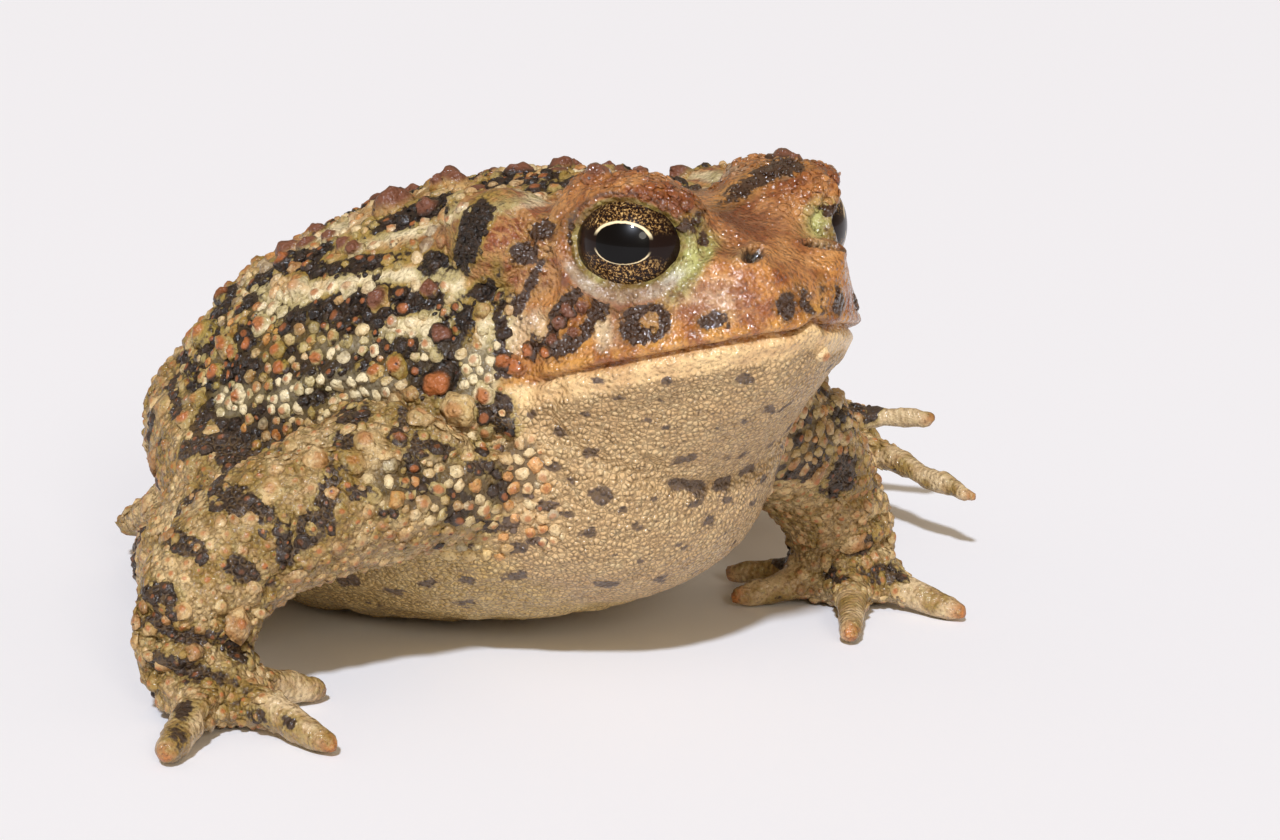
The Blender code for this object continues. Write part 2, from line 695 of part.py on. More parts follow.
def make_leg(tag, thigh, shank, tarsus, toes, trunk_shell, free_toes):
    """A hind leg. The toes numbered in free_toes are parted from the foot."""
    pieces = [
        tube(f"thigh_form_{tag}", thigh, THIGH_RADII),
        tube(f"shank_form_{tag}", shank, SHANK_RADII),
        tube(f"tarsus_form_{tag}", tarsus, TARSUS_RADII, 14),
    ]
    pieces += foot_pieces(tag, tarsus[-1], toes)
    limb = make_limb(tag, "leg", pieces, LEG_TRIANGLES)
    boolean(limb, trunk_shell, "DIFFERENCE")
    cuts = [bend_cut(thigh, shank, KNEE_CUT), bend_cut(shank, tarsus, ANKLE_CUT)]
    names = {f"thigh_{tag}": thigh[2], f"shank_{tag}": shank[2], f"foot_{tag}": tarsus[2]}
    for n in free_toes:
        tip = toes[n - 1]
        cuts.append(disc_cut(toward(tarsus[-1], tip, TOE_CUT), Vector(tip) - Vector(tarsus[-1]), DIGIT_CUT))
        names[f"toe_{n}_{tag}"] = toward(tarsus[-1], tip, BEYOND_CUT)
    subtract(limb, cuts)
    return split(limb, names)


def aimed(surface, point, side, inward):
    """Where a line toward a point in the head meets the skin, and a turn that faces back along it."""
    direction = Vector((-side * inward[0], inward[1], inward[2])).normalized()
    start = vec(sided(point, side)) - direction * AIM_DISTANCE * MM
    hit, _, _, _ = surface.ray_cast(start, direction)
    return hit / MM, (-direction).to_track_quat("Z", "Y").to_matrix().to_4x4()


def head_details(trunk):
    """Pits of the nostrils, and ear drums set in shallow dishes."""
    surface = BVHTree.FromObject(trunk, bpy.context.evaluated_depsgraph_get())
    pits, drums = [], []
    for side in (1, -1):
        point, turn = aimed(surface, NOSTRIL_AIM, side, NOSTRIL_INWARD)
        pits.append(ellipsoid("nostril", point, NOSTRIL_RADII, turn, 10))
        point, turn = aimed(surface, EAR_AIM, side, EAR_INWARD)
        pits.append(ellipsoid("dish", point, EAR_DISH_RADII, turn, 14))
        drums.append(ellipsoid("drum", point, EAR_DRUM_RADII, turn, 14))
    return pits, drums


def finish(nodes):
    """Centres the toad over the origin, gives each node its material and rounds its shading."""
    corners = [v.co for obj in nodes.values() for v in obj.data.vertices]
    low = Vector((min(c.x for c in corners), min(c.y for c in corners), 0.0))
    high = Vector((max(c.x for c in corners), max(c.y for c in corners), 0.0))
    shift = Matrix.Translation(-(low + high) / 2)
    for name, obj in nodes.items():
        obj.data.transform(shift)
        obj.data.materials.clear()
        obj.data.materials.append(material(slot_for(name)))
        obj.data.shade_smooth()
        obj.data.set_sharp_from_angle(angle=math.radians(SHARP_DEG))


def slot_for(name):
    if name.startswith("eye"):
        return "eye"
    if name.startswith(("finger", "toe")):
        return "digit"
    if name.startswith(("upper_arm", "forearm", "hand", "thigh", "shank", "foot")):
        return "skin_limb"
    return "skin_belly" if name == "lower_jaw" else "skin_back"


def material(name):
    made = bpy.data.materials.get(name)
    if made:
        return made
    colour, roughness = COLOURS[name]
    made = bpy.data.materials.new(name)
    made.use_nodes = True
    shader = made.node_tree.nodes["Principled BSDF"]
    shader.inputs["Base Color"].default_value = (*colour, 1.0)
    shader.inputs["Roughness"].default_value = roughness
    shader.inputs["Metallic"].default_value = 0.0
    made.diffuse_color = (*colour, 1.0)
    return made


clear_scene()
trunk = make_trunk()
trunk_shell = inflated(trunk, GAP)
nodes = {}
nodes.update(make_arm("left", LEFT_ARM, LEFT_PALM, LEFT_FINGERS, trunk_shell))
nodes.update(make_arm("right", RIGHT_ARM, RIGHT_PALM, RIGHT_FINGERS, trunk_shell))
nodes.update(make_leg("left", LEFT_THIGH, LEFT_SHANK, LEFT_TARSUS, LEFT_TOES, trunk_shell, (3, 4, 5)))
nodes.update(make_leg("right", RIGHT_THIGH, RIGHT_SHANK, RIGHT_TARSUS, RIGHT_TOES, trunk_shell, ()))
bpy.data.objects.remove(trunk_shell, do_unlink=True)

pits, drums = head_details(trunk)
add_warts(trunk, trunk_wart_spots(), list(nodes.values()))
sockets = [ellipsoid("socket", sided(EYE_CENTRE, side), [EYE_RADIUS + GAP] * 3, segments=20) for side in (1, -1)]
windows = [eye_window(side) for side in (1, -1)]
subtract(trunk, sockets + windows + pits)
for drum in drums:
    boolean(trunk, drum, "UNION")
    bpy.data.objects.remove(drum, do_unlink=True)
subtract(trunk, [jaw_cut()])
nodes.update(split(trunk, TRUNK_PARTS))
for side, tag in ((1, "left"), (-1, "right")):
    nodes[f"eye_{tag}"] = ellipsoid(f"eye_{tag}", sided(EYE_CENTRE, side), [EYE_RADIUS] * 3, segments=20)
finish(nodes)
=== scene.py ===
"""American toad, life size: hide, warts and eyes over the solids of its body.

Metres, +Z up. The toad faces -Y with its left side at +X. A named size is in millimetres, or in
metres where it is written with MM.
"""

import math
import random
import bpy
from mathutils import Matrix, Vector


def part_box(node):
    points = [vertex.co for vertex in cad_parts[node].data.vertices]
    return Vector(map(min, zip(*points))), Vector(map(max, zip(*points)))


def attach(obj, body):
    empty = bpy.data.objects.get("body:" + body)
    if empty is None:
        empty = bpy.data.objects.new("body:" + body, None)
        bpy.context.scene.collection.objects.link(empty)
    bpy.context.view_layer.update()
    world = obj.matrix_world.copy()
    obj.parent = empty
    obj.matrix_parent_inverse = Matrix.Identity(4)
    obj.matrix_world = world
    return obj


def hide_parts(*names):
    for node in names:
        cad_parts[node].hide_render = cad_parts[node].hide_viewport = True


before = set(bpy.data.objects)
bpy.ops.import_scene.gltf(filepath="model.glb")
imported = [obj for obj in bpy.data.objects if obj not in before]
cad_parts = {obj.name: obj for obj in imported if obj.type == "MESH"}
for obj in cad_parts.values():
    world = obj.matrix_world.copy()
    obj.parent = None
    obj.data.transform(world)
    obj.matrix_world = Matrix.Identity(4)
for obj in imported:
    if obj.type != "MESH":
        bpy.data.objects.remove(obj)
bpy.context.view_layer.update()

from types import SimpleNamespace

import bmesh
import bpy
import numpy as np
from mathutils import Matrix, Vector, noise
from mathutils.bvhtree import BVHTree

# Camera
# A long lens a third of a metre from the toad, low and in front of its right shoulder.
# Places are given in the body's own frame, which is found from where the left eye lies.
MM = 0.001
EYE_IN_BODY = Vector((8.95, -18.75, 38.25))
eye_low, eye_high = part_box("eye_left")
body_shift = (eye_low + eye_high) / 2 - EYE_IN_BODY * MM


def place(point):
    """A point of the body frame, in millimetres, as the frame's metres."""
    return Vector(point) * MM + body_shift


IMAGE_WIDTH = 1280
IMAGE_HEIGHT = 840
FOCAL_PIXELS = 3616
CAMERA_AZIMUTH = math.radians(-44.0)
CAMERA_RISE = math.radians(12.0)
CAMERA_ROLL = math.radians(2.5)
CAMERA_DISTANCE = 320 * MM
CAMERA_TARGET = (10.6, 0.0, 18.0)
SENSOR_WIDTH = 36.0
NEAREST_SEEN = 10 * MM

camera_back = Vector((
    math.sin(CAMERA_AZIMUTH) * math.cos(CAMERA_RISE),
    -math.cos(CAMERA_AZIMUTH) * math.cos(CAMERA_RISE),
    math.sin(CAMERA_RISE),
))
camera_place = place(CAMERA_TARGET) + camera_back * CAMERA_DISTANCE
camera_turn = camera_back.to_track_quat("Z", "Y").to_matrix().to_4x4() @ Matrix.Rotation(CAMERA_ROLL, 4, "Z")
camera_data = bpy.data.cameras.new("camera")
camera_data.sensor_width = SENSOR_WIDTH
camera_data.lens = FOCAL_PIXELS * SENSOR_WIDTH / IMAGE_WIDTH
camera_data.clip_start = NEAREST_SEEN
camera = bpy.data.objects.new("camera", camera_data)
camera.matrix_world = Matrix.Translation(camera_place) @ camera_turn
bpy.context.scene.collection.objects.link(camera)
bpy.context.scene.camera = camera
# The standard view keeps the card white and the pale hide pale.
bpy.context.scene.view_settings.view_transform = "Standard"
picture_right = camera_turn.to_3x3() @ Vector((1, 0, 0))
picture_up = camera_turn.to_3x3() @ Vector((0, 1, 0))


def line_of_sight(u, v):
    """The direction from the camera through a pixel of the 1280 by 840 picture."""
    local = Vector((u - IMAGE_WIDTH / 2, IMAGE_HEIGHT / 2 - v, -FOCAL_PIXELS))
    return (camera_turn.to_3x3() @ local).normalized()


# Hide, as one loose skin
# One whole skin lies over head, trunk and limbs. It is grown from the solids' own surfaces, closed
# over their joints and eased, then given finer lids, brows, lips and glands.
SKIN_OVER_SOLIDS = 0.2
CORE_VOXEL = 0.6
SKIN_VOXEL = 0.54
CORE_SMOOTHING = 9
SAME_POINT = 1e-6
OVAL_SEGMENTS = 40
BALLS_PER_STRETCH = 7


def new_object(name, bm):
    mesh = bpy.data.meshes.new(name)
    bm.to_mesh(mesh)
    bm.free()
    obj = bpy.data.objects.new(name, mesh)
    bpy.context.scene.collection.objects.link(obj)
    return obj


def apply_modifiers(obj):
    graph = bpy.context.evaluated_depsgraph_get()
    mesh = bpy.data.meshes.new_from_object(obj.evaluated_get(graph))
    obj.modifiers.clear()
    old = obj.data
    obj.data = mesh
    bpy.data.meshes.remove(old)


def remesh(obj, voxel):
    modifier = obj.modifiers.new("fuse", "REMESH")
    modifier.mode = "VOXEL"
    modifier.voxel_size = voxel * MM
    apply_modifiers(obj)


def smooth(bm, verts, passes):
    for _ in range(passes):
        bmesh.ops.smooth_vert(bm, verts=verts, factor=0.5, use_axis_x=True, use_axis_y=True, use_axis_z=True)


def largest_surface(bm):
    """Keeps only the biggest closed surface."""
    seen, shells = set(), []
    for start in bm.faces:
        if start in seen:
            continue
        shell, todo = [], [start]
        seen.add(start)
        while todo:
            face = todo.pop()
            shell.append(face)
            for edge in face.edges:
                for other in edge.link_faces:
                    if other not in seen:
                        seen.add(other)
                        todo.append(other)
        shells.append(shell)
    shells.sort(key=len, reverse=True)
    bmesh.ops.delete(bm, geom=[f for shell in shells[1:] for f in shell], context="FACES")


flesh = sorted(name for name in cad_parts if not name.startswith("eye"))
bm = bmesh.new()
for name in flesh:
    part = bmesh.new()
    part.from_mesh(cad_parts[name].data)
    bmesh.ops.remove_doubles(part, verts=part.verts, dist=SAME_POINT)
    part.normal_update()
    for vertex in part.verts:
        vertex.co += vertex.normal * SKIN_OVER_SOLIDS * MM
    grown = bpy.data.meshes.new("grown")
    part.to_mesh(grown)
    part.free()
    bm.from_mesh(grown)
    bpy.data.meshes.remove(grown)
core = new_object("core", bm)
remesh(core, CORE_VOXEL)
bm = bmesh.new()
bm.from_mesh(core.data)
largest_surface(bm)
smooth(bm, bm.verts, CORE_SMOOTHING)
bm.to_mesh(core.data)
bm.free()


def oval(centre, radii, turn=Matrix()):
    """A smooth egg shape in the body frame."""
    bm = bmesh.new()
    rings = OVAL_SEGMENTS * 2 // 3
    bmesh.ops.create_uvsphere(bm, u_segments=OVAL_SEGMENTS, v_segments=rings, radius=1.0)
    size = Matrix.Diagonal((*[r * MM for r in radii], 1))
    matrix = Matrix.Translation(place(centre)) @ turn @ size
    bmesh.ops.transform(bm, matrix=matrix, verts=bm.verts)
    return new_object("form", bm)


def catmull_rom(a, b, c, d, t):
    return 0.5 * (2 * b + (c - a) * t + (2 * a - 5 * b + 4 * c - d) * t**2 + (3 * b - a - 3 * c + d) * t**3)


def smooth_curve(points, steps):
    """Points along a smooth curve through the given ones, with so many steps from each to the next."""
    ends = [points[0], *points, points[-1]]
    made = []
    for i in range(1, len(ends) - 2):
        for k in range(steps):
            made.append(tuple(catmull_rom(*values, k / steps) for values in zip(*ends[i - 1 : i + 3])))
    made.append(tuple(points[-1]))
    return made


def roll_of_skin(points):
    """A ridge of skin: balls (x, y, z, radius) along a smooth curve, so close that they fuse into a roll."""
    bm = bmesh.new()
    for x, y, z, radius in smooth_curve(points, BALLS_PER_STRETCH):
        ball = Matrix.Translation(place((x, y, z))) @ Matrix.Scale(radius * MM, 4)
        bmesh.ops.create_icosphere(bm, subdivisions=2, radius=1.0, matrix=ball)
    return new_object("form", bm)


def sided(point, side):
    """A point of the left side, or its mirror image on the right where side is -1."""
    return (point[0] * side, *point[1:])


EYE_RADIUS = 4.75
ORBIT_WALL = 0.75
RIM_OUTWARD = math.radians(57.0)
RIM_UP = math.radians(7.0)
RIM_WIDE_TAN = math.tan(math.radians(63.0))
RIM_HIGH_TAN = math.tan(math.radians(43.5))
LID_BEYOND_RIM = math.radians(6.5)
LID_DISTANCE = 5.25
LID_STEPS = 24
LID_RADIUS = 0.5
UPPER_LID_MORE = 0.45
WINDOW_DEPTH = 5.8


def rim_turn(side):
    """The turn of the eye's opening: its X runs level, its Y up and its Z out of the eye."""
    axis = Vector((
        side * math.sin(RIM_OUTWARD) * math.cos(RIM_UP),
        -math.cos(RIM_OUTWARD) * math.cos(RIM_UP),
        math.sin(RIM_UP),
    ))
    return axis.to_track_quat("Z", "Y").to_matrix()


def rim_spread(level, above):
    """The angle from the eye's axis to its rim, in the direction (level, above) across the eye."""
    return np.arctan(1 / np.hypot(level / RIM_WIDE_TAN, above / RIM_HIGH_TAN))


def lid_roll(side):
    """The lids: a roll of skin round the opening, thicker over its top."""
    points = []
    for k in range(LID_STEPS + 1):
        angle = 2 * math.pi * k / LID_STEPS
        level, above = math.cos(angle), math.sin(angle)
        spread = float(rim_spread(level, above)) + LID_BEYOND_RIM
        local = Vector((level * math.sin(spread), above * math.sin(spread), math.cos(spread)))
        centre = Vector(sided(EYE_IN_BODY, side)) + rim_turn(side) @ local * LID_DISTANCE
        points.append((*centre, LID_RADIUS + UPPER_LID_MORE * max(above, 0)))
    return roll_of_skin(points)


BROW_CENTRE = (7.9, -18.7, 41.2)
BROW_RADII = (3.9, 5.5, 2.6)
GLAND_CENTRE = (12.4, -8.4, 37.1)
GLAND_RADII = (4.4, 7.3, 4.1)
# Ridges on each side of the head: behind the eye, over the brow, from the eye to the nostril, and
# the upper and the lower lip.
HEAD_ROLLS = [
    [(9.8, -13.9, 42.2, 1.5), (12.2, -14.3, 40.1, 1.4), (13.3, -15.4, 37.3, 1.2), (13.6, -16.8, 34.2, 0.9)],
    [(2.8, -24.6, 38.7, 0.9), (3.8, -20.6, 40.3, 1.1), (4.8, -16.4, 41.5, 1.3), (8.6, -13.6, 42.1, 1.4)],
    [(8.2, -24.2, 36.7, 0.9), (5.8, -26.4, 36.9, 1.4), (3.4, -28.4, 36.2, 1.5)],
    [(14.2, -15.4, 28.2, 1.1), (12.6, -20.0, 29.6, 1.2), (9.9, -24.2, 31.1, 1.3), (6.4, -27.4, 32.4, 1.25),
     (2.0, -28.9, 33.3, 1.25), (0.0, -29.2, 33.4, 1.2)],
    [(14.2, -15.6, 25.3, 1.1), (12.0, -20.0, 26.8, 1.2), (9.3, -24.0, 28.4, 1.2), (6.0, -27.0, 29.9, 1.05),
     (1.8, -28.8, 30.9, 1.0), (0.0, -29.0, 31.1, 1.0)],
]


def head_forms(side):
    lean = Matrix.Rotation(math.radians(-14 * side), 4, "Y")
    lie = Matrix.Rotation(math.radians(-8 * side), 4, "Z") @ Matrix.Rotation(math.radians(10), 4, "X")
    forms = [
        oval(sided(EYE_IN_BODY, side), [EYE_RADIUS + ORBIT_WALL] * 3),
        oval(sided(BROW_CENTRE, side), BROW_RADII, lean),
        oval(sided(GLAND_CENTRE, side), GLAND_RADII, lie),
        lid_roll(side),
    ]
    return forms + [roll_of_skin([sided(p, side) for p in points]) for points in HEAD_ROLLS]


pieces = [core] + head_forms(1) + head_forms(-1)
bm = bmesh.new()
for piece in pieces:
    bm.from_mesh(piece.data)
    bpy.data.objects.remove(piece, do_unlink=True)
skin = new_object("skin", bm)
remesh(skin, CORE_VOXEL)

# The opening of each eye is a cone from its middle, oval across.
for side in (1, -1):
    bm = bmesh.new()
    bmesh.ops.create_cone(bm, cap_ends=True, segments=48, radius1=0.0, radius2=1.0, depth=1.0)
    bmesh.ops.translate(bm, verts=bm.verts, vec=(0, 0, 0.5))
    wide, high = (slope * WINDOW_DEPTH * MM for slope in (RIM_WIDE_TAN, RIM_HIGH_TAN))
    matrix = Matrix.Translation(place(sided(EYE_IN_BODY, side))) @ rim_turn(side).to_4x4()
    matrix = matrix @ Matrix.Diagonal((wide, high, WINDOW_DEPTH * MM, 1))
    bmesh.ops.transform(bm, matrix=matrix, verts=bm.verts)
    bmesh.ops.remove_doubles(bm, verts=bm.verts, dist=SAME_POINT)
    bmesh.ops.recalc_face_normals(bm, faces=bm.faces)
    window = new_object("window", bm)
    cut = skin.modifiers.new("window", "BOOLEAN")
    cut.operation = "DIFFERENCE"
    cut.solver = "MANIFOLD"
    cut.object = window
    apply_modifiers(skin)
    bpy.data.objects.remove(window, do_unlink=True)
remesh(skin, SKIN_VOXEL)

# The head, nearest to the viewer and finest, gets four faces for each one of the rest.
HEAD_BACK = -11.0
HEAD_LOWEST = 24.0
bm = bmesh.new()
bm.from_mesh(skin.data)
largest_surface(bm)
smooth(bm, bm.verts, 2)
back, lowest = place((0, HEAD_BACK, 0)).y, HEAD_LOWEST * MM
edges = [e for e in bm.edges if all(v.co.y < back and v.co.z > lowest for v in e.verts)]
bmesh.ops.subdivide_edges(bm, edges=edges, cuts=1, use_grid_fill=True)
head_verts = [v for v in bm.verts if v.co.y < back and v.co.z > lowest]
smooth(bm, head_verts, 1)
bmesh.ops.triangulate(bm, faces=[f for f in bm.faces if len(f.verts) > 4])
bm.to_mesh(skin.data)
bm.free()
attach(skin, "root")
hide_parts(*flesh)


def surface_of(obj):
    return BVHTree.FromObject(obj, bpy.context.evaluated_depsgraph_get())


hide_surface = surface_of(skin)


def seen_at(u, v):
    """Where the line of sight through a pixel meets the hide, or passes nearest to it."""
    sight = line_of_sight(u, v)
    hit, _, _, distance = hide_surface.ray_cast(camera_place, sight)
    if hit is None:
        hit = hide_surface.find_nearest(camera_place + sight * CAMERA_DISTANCE)[0]
        distance = (hit - camera_place).length
    return hit, distance


def mesh_vectors(mesh, what):
    values = np.empty(len(mesh.vertices) * 3, np.float32)
    mesh.vertices.foreach_get(what, values)
    return values.reshape(-1, 3).astype(float)


def mirrored(points):
    copy = points.copy()
    copy[:, 0] = 2 * body_shift.x - copy[:, 0]
    return copy


def body_coordinates(points):
    return (points - np.array(body_shift)) / MM


def soft_step(value, low, high):
    share = np.clip((value - low) / (high - low), 0, 1)
    return share * share * (3 - 2 * share)


# Folds of the hide
# Loose skin creases over the shoulder, at the wrists and under the jaw, and is drawn tight at the
# mouth, the nostrils and the ear drums. Each crease follows (u, v) points of the picture.
CREASE_STEPS = 4
CREASE_SIDE_RISE = 0.45
MOUTH_FRONT = (-33.0, 32.95)
MOUTH_CORNER = (-14.4, 26.75)
MOUTH_SLOPE = (MOUTH_CORNER[1] - MOUTH_FRONT[1]) / (MOUTH_CORNER[0] - MOUTH_FRONT[0])
LIP_NOTCH = 0.8
LIP_NOTCH_HALF_WIDTH = 1.1
BOTH_SIDE_CREASES = [
    # points, half width, depth
    ([(318, 392), (360, 396), (405, 404), (440, 414), (470, 430), (505, 442)], 0.75, 1.1),
    ([(560, 390), (548, 410), (556, 432), (585, 456), (640, 478), (700, 487), (745, 474), (780, 440)],
     0.6, 0.35),
    ([(528, 300), (540, 318), (552, 330)], 0.5, 0.3),
    ([(686, 205), (700, 228), (704, 250), (692, 272)], 0.5, 0.35),
    ([(583, 200), (574, 232), (579, 262), (596, 284), (625, 298)], 0.4, 0.25),
    ([(512, 210), (530, 240), (524, 262), (510, 286)], 0.5, 0.4),
    ([(448, 262), (470, 284), (500, 290)], 0.5, 0.3),
]
NEAR_CREASES = [
    ([(150, 640), (180, 636), (210, 645), (246, 640)], 0.6, 1.0),
    ([(146, 668), (175, 676), (205, 664), (240, 652)], 0.5, 0.6),
    ([(145, 612), (175, 622), (215, 620), (250, 612)], 0.5, 0.6),
    ([(148, 626), (180, 630), (214, 633), (248, 625)], 0.35, 0.5),
    ([(500, 436), (470, 452), (440, 466), (400, 470), (360, 474)], 0.6, 0.5),
    ([(205, 722), (222, 705), (240, 692)], 0.5, 0.5),
    ([(262, 456), (300, 448), (340, 440)], 0.5, 0.4),
    ([(300, 520), (290, 560), (262, 600)], 0.5, 0.3),
    ([(800, 546), (830, 552), (862, 550), (888, 543)], 0.5, 0.6),
    ([(826, 492), (850, 500), (880, 492)], 0.4, 0.3),
    ([(835, 517), (860, 524), (886, 516)], 0.4, 0.35),
]


def distance_to_path(points, path):
    """How far each point lies from a bent line, in millimetres."""
    nearest = np.full(len(points), 1e9)
    for start, end in zip(path, path[1:]):
        start, along = np.array(start), np.array(end - start)
        share = np.clip((points - start) @ along / max(along @ along, 1e-12), 0, 1)
        nearest = np.minimum(nearest, np.linalg.norm(points - start - share[:, None] * along, axis=1))
    return nearest / MM


def bell(value, middle, half_width):
    """One at the middle, falling away smoothly to nought on both sides."""
    return np.exp(-(((value - middle) / half_width) ** 2))


def groove(points, pixels, half_width, depth):
    """A crease with the skin raised a little on both sides of it."""
    path = [seen_at(u, v)[0] for u, v in smooth_curve(pixels, CREASE_STEPS)]
    across = distance_to_path(points, path) / half_width
    return CREASE_SIDE_RISE * depth * bell(across, 2.0, 1.0) - depth * bell(across, 0.0, 1.0)


def above_mouth(at):
    """Height over the line of the mouth, with its notch at the middle of the upper lip."""
    line = MOUTH_FRONT[1] + MOUTH_SLOPE * (at[:, 1] - MOUTH_FRONT[0])
    return at[:, 2] - line - LIP_NOTCH * bell(at[:, 0], 0.0, LIP_NOTCH_HALF_WIDTH)


NOSTRIL_PIXEL = (753, 256)
NOSTRIL_RADII = (0.85, 0.5)
NOSTRIL_DEPTH = 1.3
NOSTRIL_RIM = 0.35
NOSTRIL_TILT = math.radians(20)
EAR_PIXEL = (543, 277)
EAR_RADII = (1.6, 2.3)
EAR_RIM = 0.22
EAR_HOLLOW = 0.3
# A mark reaches no deeper than this many of its greater radius, so it isn't on the far side too.
MARK_THICKNESS = 2.5
nostril_point, _ = seen_at(*NOSTRIL_PIXEL)
ear_point, _ = seen_at(*EAR_PIXEL)


def oval_reach(points, centre, radii, tilt):
    """How many of an oval's radii each point lies from its centre, the oval laid flat across the picture."""
    along = np.array(picture_right * math.cos(tilt) + picture_up * math.sin(tilt))
    across = np.array(picture_up * math.cos(tilt) - picture_right * math.sin(tilt))
    away = (points - np.array(centre)) / MM
    flat = np.hypot(away @ along / radii[0], away @ across / radii[1])
    return np.maximum(flat, np.linalg.norm(away, axis=1) / (MARK_THICKNESS * max(radii)))


def lid_coordinates(at, side):
    """For points near an eye: millimetres beyond its rim, height and forwardness about it, and distance."""
    away = (at - np.array(sided(EYE_IN_BODY, side))) @ np.array(rim_turn(side))
    reach = np.linalg.norm(away, axis=1)
    flat = np.maximum(np.hypot(away[:, 0], away[:, 1]), 1e-6)
    above, forward = away[:, 1] / flat, -side * away[:, 0] / flat
    beyond = (np.arctan2(flat, away[:, 2]) - rim_spread(away[:, 0] / flat, above)) * EYE_RADIUS
    return beyond, above, forward, reach


# Between the creases the hide is lumpy, less so on the head: spans and heights of its unevenness.
LUMPS = [(3.2, 0.34), (1.3, 0.2), (0.6, 0.1)]
HEAD_CALM = 0.5
MOUTH_DEPTH = 0.75
MOUTH_HALF_WIDTH = 0.27
UPPER_LIP_RISE = 0.3
LOWER_LIP_RISE = 0.15
LIP_HALF_HEIGHT = 0.45
LID_CREASE_DEPTH = 0.3
LID_SWELL = 0.18
UPPER_FOLD_DEPTH = 0.25
hide_points = mesh_vectors(skin.data, "co")
hide_normals = mesh_vectors(skin.data, "normal")
at = body_coordinates(hide_points)
lift = np.zeros(len(hide_points))
calm = 1 - HEAD_CALM * soft_step(-at[:, 1], 10.0, 14.0)
for pixels, half_width, depth in BOTH_SIDE_CREASES:
    near = groove(hide_points, pixels, half_width, depth)
    far = groove(mirrored(hide_points), pixels, half_width, depth)
    lift += np.where(np.abs(near) > np.abs(far), near, far)
for pixels, half_width, depth in NEAR_CREASES:
    lift += groove(hide_points, pixels, half_width, depth)
over = above_mouth(at)
facing_out = soft_step(-at[:, 1], -MOUTH_CORNER[0] - 1.2, -MOUTH_CORNER[0] + 1.5)
lips = UPPER_LIP_RISE * bell(over, 0.75, LIP_HALF_HEIGHT) - MOUTH_DEPTH * bell(over, 0.0, MOUTH_HALF_WIDTH)
lift += facing_out * lips
lift += facing_out * LOWER_LIP_RISE * bell(over, -0.8, LIP_HALF_HEIGHT)
for points in (hide_points, mirrored(hide_points)):
    reach = oval_reach(points, nostril_point, NOSTRIL_RADII, NOSTRIL_TILT)
    lift += NOSTRIL_RIM * bell(reach, 1.5, 0.6) - NOSTRIL_DEPTH * np.exp(-(reach**4))
    reach = oval_reach(points, ear_point, EAR_RADII, 0.0)
    lift += EAR_RIM * bell(reach, 1.15, 0.16) - EAR_HOLLOW * np.exp(-(reach**6))
for side in (1, -1):
    beyond, above, _, reach = lid_coordinates(at, side)
    low_lid = soft_step(-above, 0.05, 0.4) * (1 - soft_step(reach, 6.4, 7.4))
    lift -= LID_CREASE_DEPTH * low_lid * bell(beyond, 1.75, 0.28)
    lift += LID_SWELL * low_lid * bell(beyond, 0.8, 0.5)
    fold = soft_step(above, -0.3, 0.1) * (1 - soft_step(reach, 6.6, 7.6))
    lift -= UPPER_FOLD_DEPTH * fold * bell(beyond, 0.95, 0.25)
for span, rise in LUMPS:
    lift += rise * np.array([noise.noise(Vector(p) / (span * MM)) for p in hide_points]) * calm
hide_points += hide_normals * (lift * MM)[:, None]
hide_points[:, 2] = np.maximum(hide_points[:, 2], 0)
skin.data.vertices.foreach_set("co", hide_points.astype(np.float32).ravel())
skin.data.update()
skin.data.shade_smooth()
hide_surface = surface_of(skin)
hide_normals = mesh_vectors(skin.data, "normal")

# Markings of the hide
# Toad hide is tan to rust on top and cream below, with near-black blotches edged in olive and
# pale stripes. Each mark is a soft oval laid on the hide along a line of sight of the picture,
# as (u, v, half length, half height, tilt). All but those of arms and far brow stand on both sides.
FAR_FROM_MARK = -3.0


def mark_depth(points, mark):
    """How deep each point lies inside a mark, in millimetres, and below nought outside it."""
    u, v, half_length, half_height, tilt = mark
    hit, distance = seen_at(u, v)
    pixel = distance / FOCAL_PIXELS / MM
    reach = oval_reach(points, hit, (half_length * pixel, half_height * pixel), math.radians(tilt))
    return np.maximum((1 - reach) * min(half_length, half_height) * pixel, FAR_FROM_MARK)


def deepest(points, marks):
    return np.maximum.reduce([mark_depth(points, mark) for mark in marks])


def both_sides(points, marks):
    return np.maximum(deepest(points, marks), deepest(mirrored(points), marks))


BACK_BLOTCHES = [
    (405, 220, 48, 10, 16), (305, 258, 24, 10, 20), (366, 264, 34, 7, 5), (432, 262, 14, 11, 0),
    (470, 235, 34, 12, 72), (485, 291, 19, 9, 0), (456, 328, 27, 13, 75), (445, 372, 26, 13, 80),
    (375, 303, 62, 16, 3), (350, 325, 36, 11, 5), (285, 318, 18, 14, 20), (385, 349, 30, 9, 8),
    (248, 333, 14, 15, 0), (238, 368, 24, 13, 10), (303, 356, 28, 11, 5), (205, 378, 16, 13, 40),
    (268, 411, 30, 13, 20), (314, 398, 20, 6, 25), (225, 432, 12, 22, 0), (352, 413, 16, 11, 0),
    (286, 432, 12, 9, 0), (345, 438, 10, 8, 0), (500, 182, 24, 6, 20), (420, 375, 9, 14, 0),
    (500, 330, 5, 34, 0), (505, 365, 5, 12, 20), (322, 372, 18, 6, 0), (250, 300, 14, 6, 40),
    (222, 308, 20, 6, 45), (212, 342, 16, 8, 50), (186, 362, 7, 15, 35), (174, 400, 6, 14, 15),
    (200, 436, 9, 18, 40), (188, 448, 8, 12, 0), (210, 410, 16, 7, 35), (330, 268, 20, 6, 12),
    (262, 278, 18, 7, 35), (340, 218, 18, 6, 20), (455, 196, 26, 6, 12), (538, 178, 22, 6, 5),
    (246, 455, 18, 9, 30), (290, 378, 16, 7, 10), (345, 360, 20, 6, 8),
]
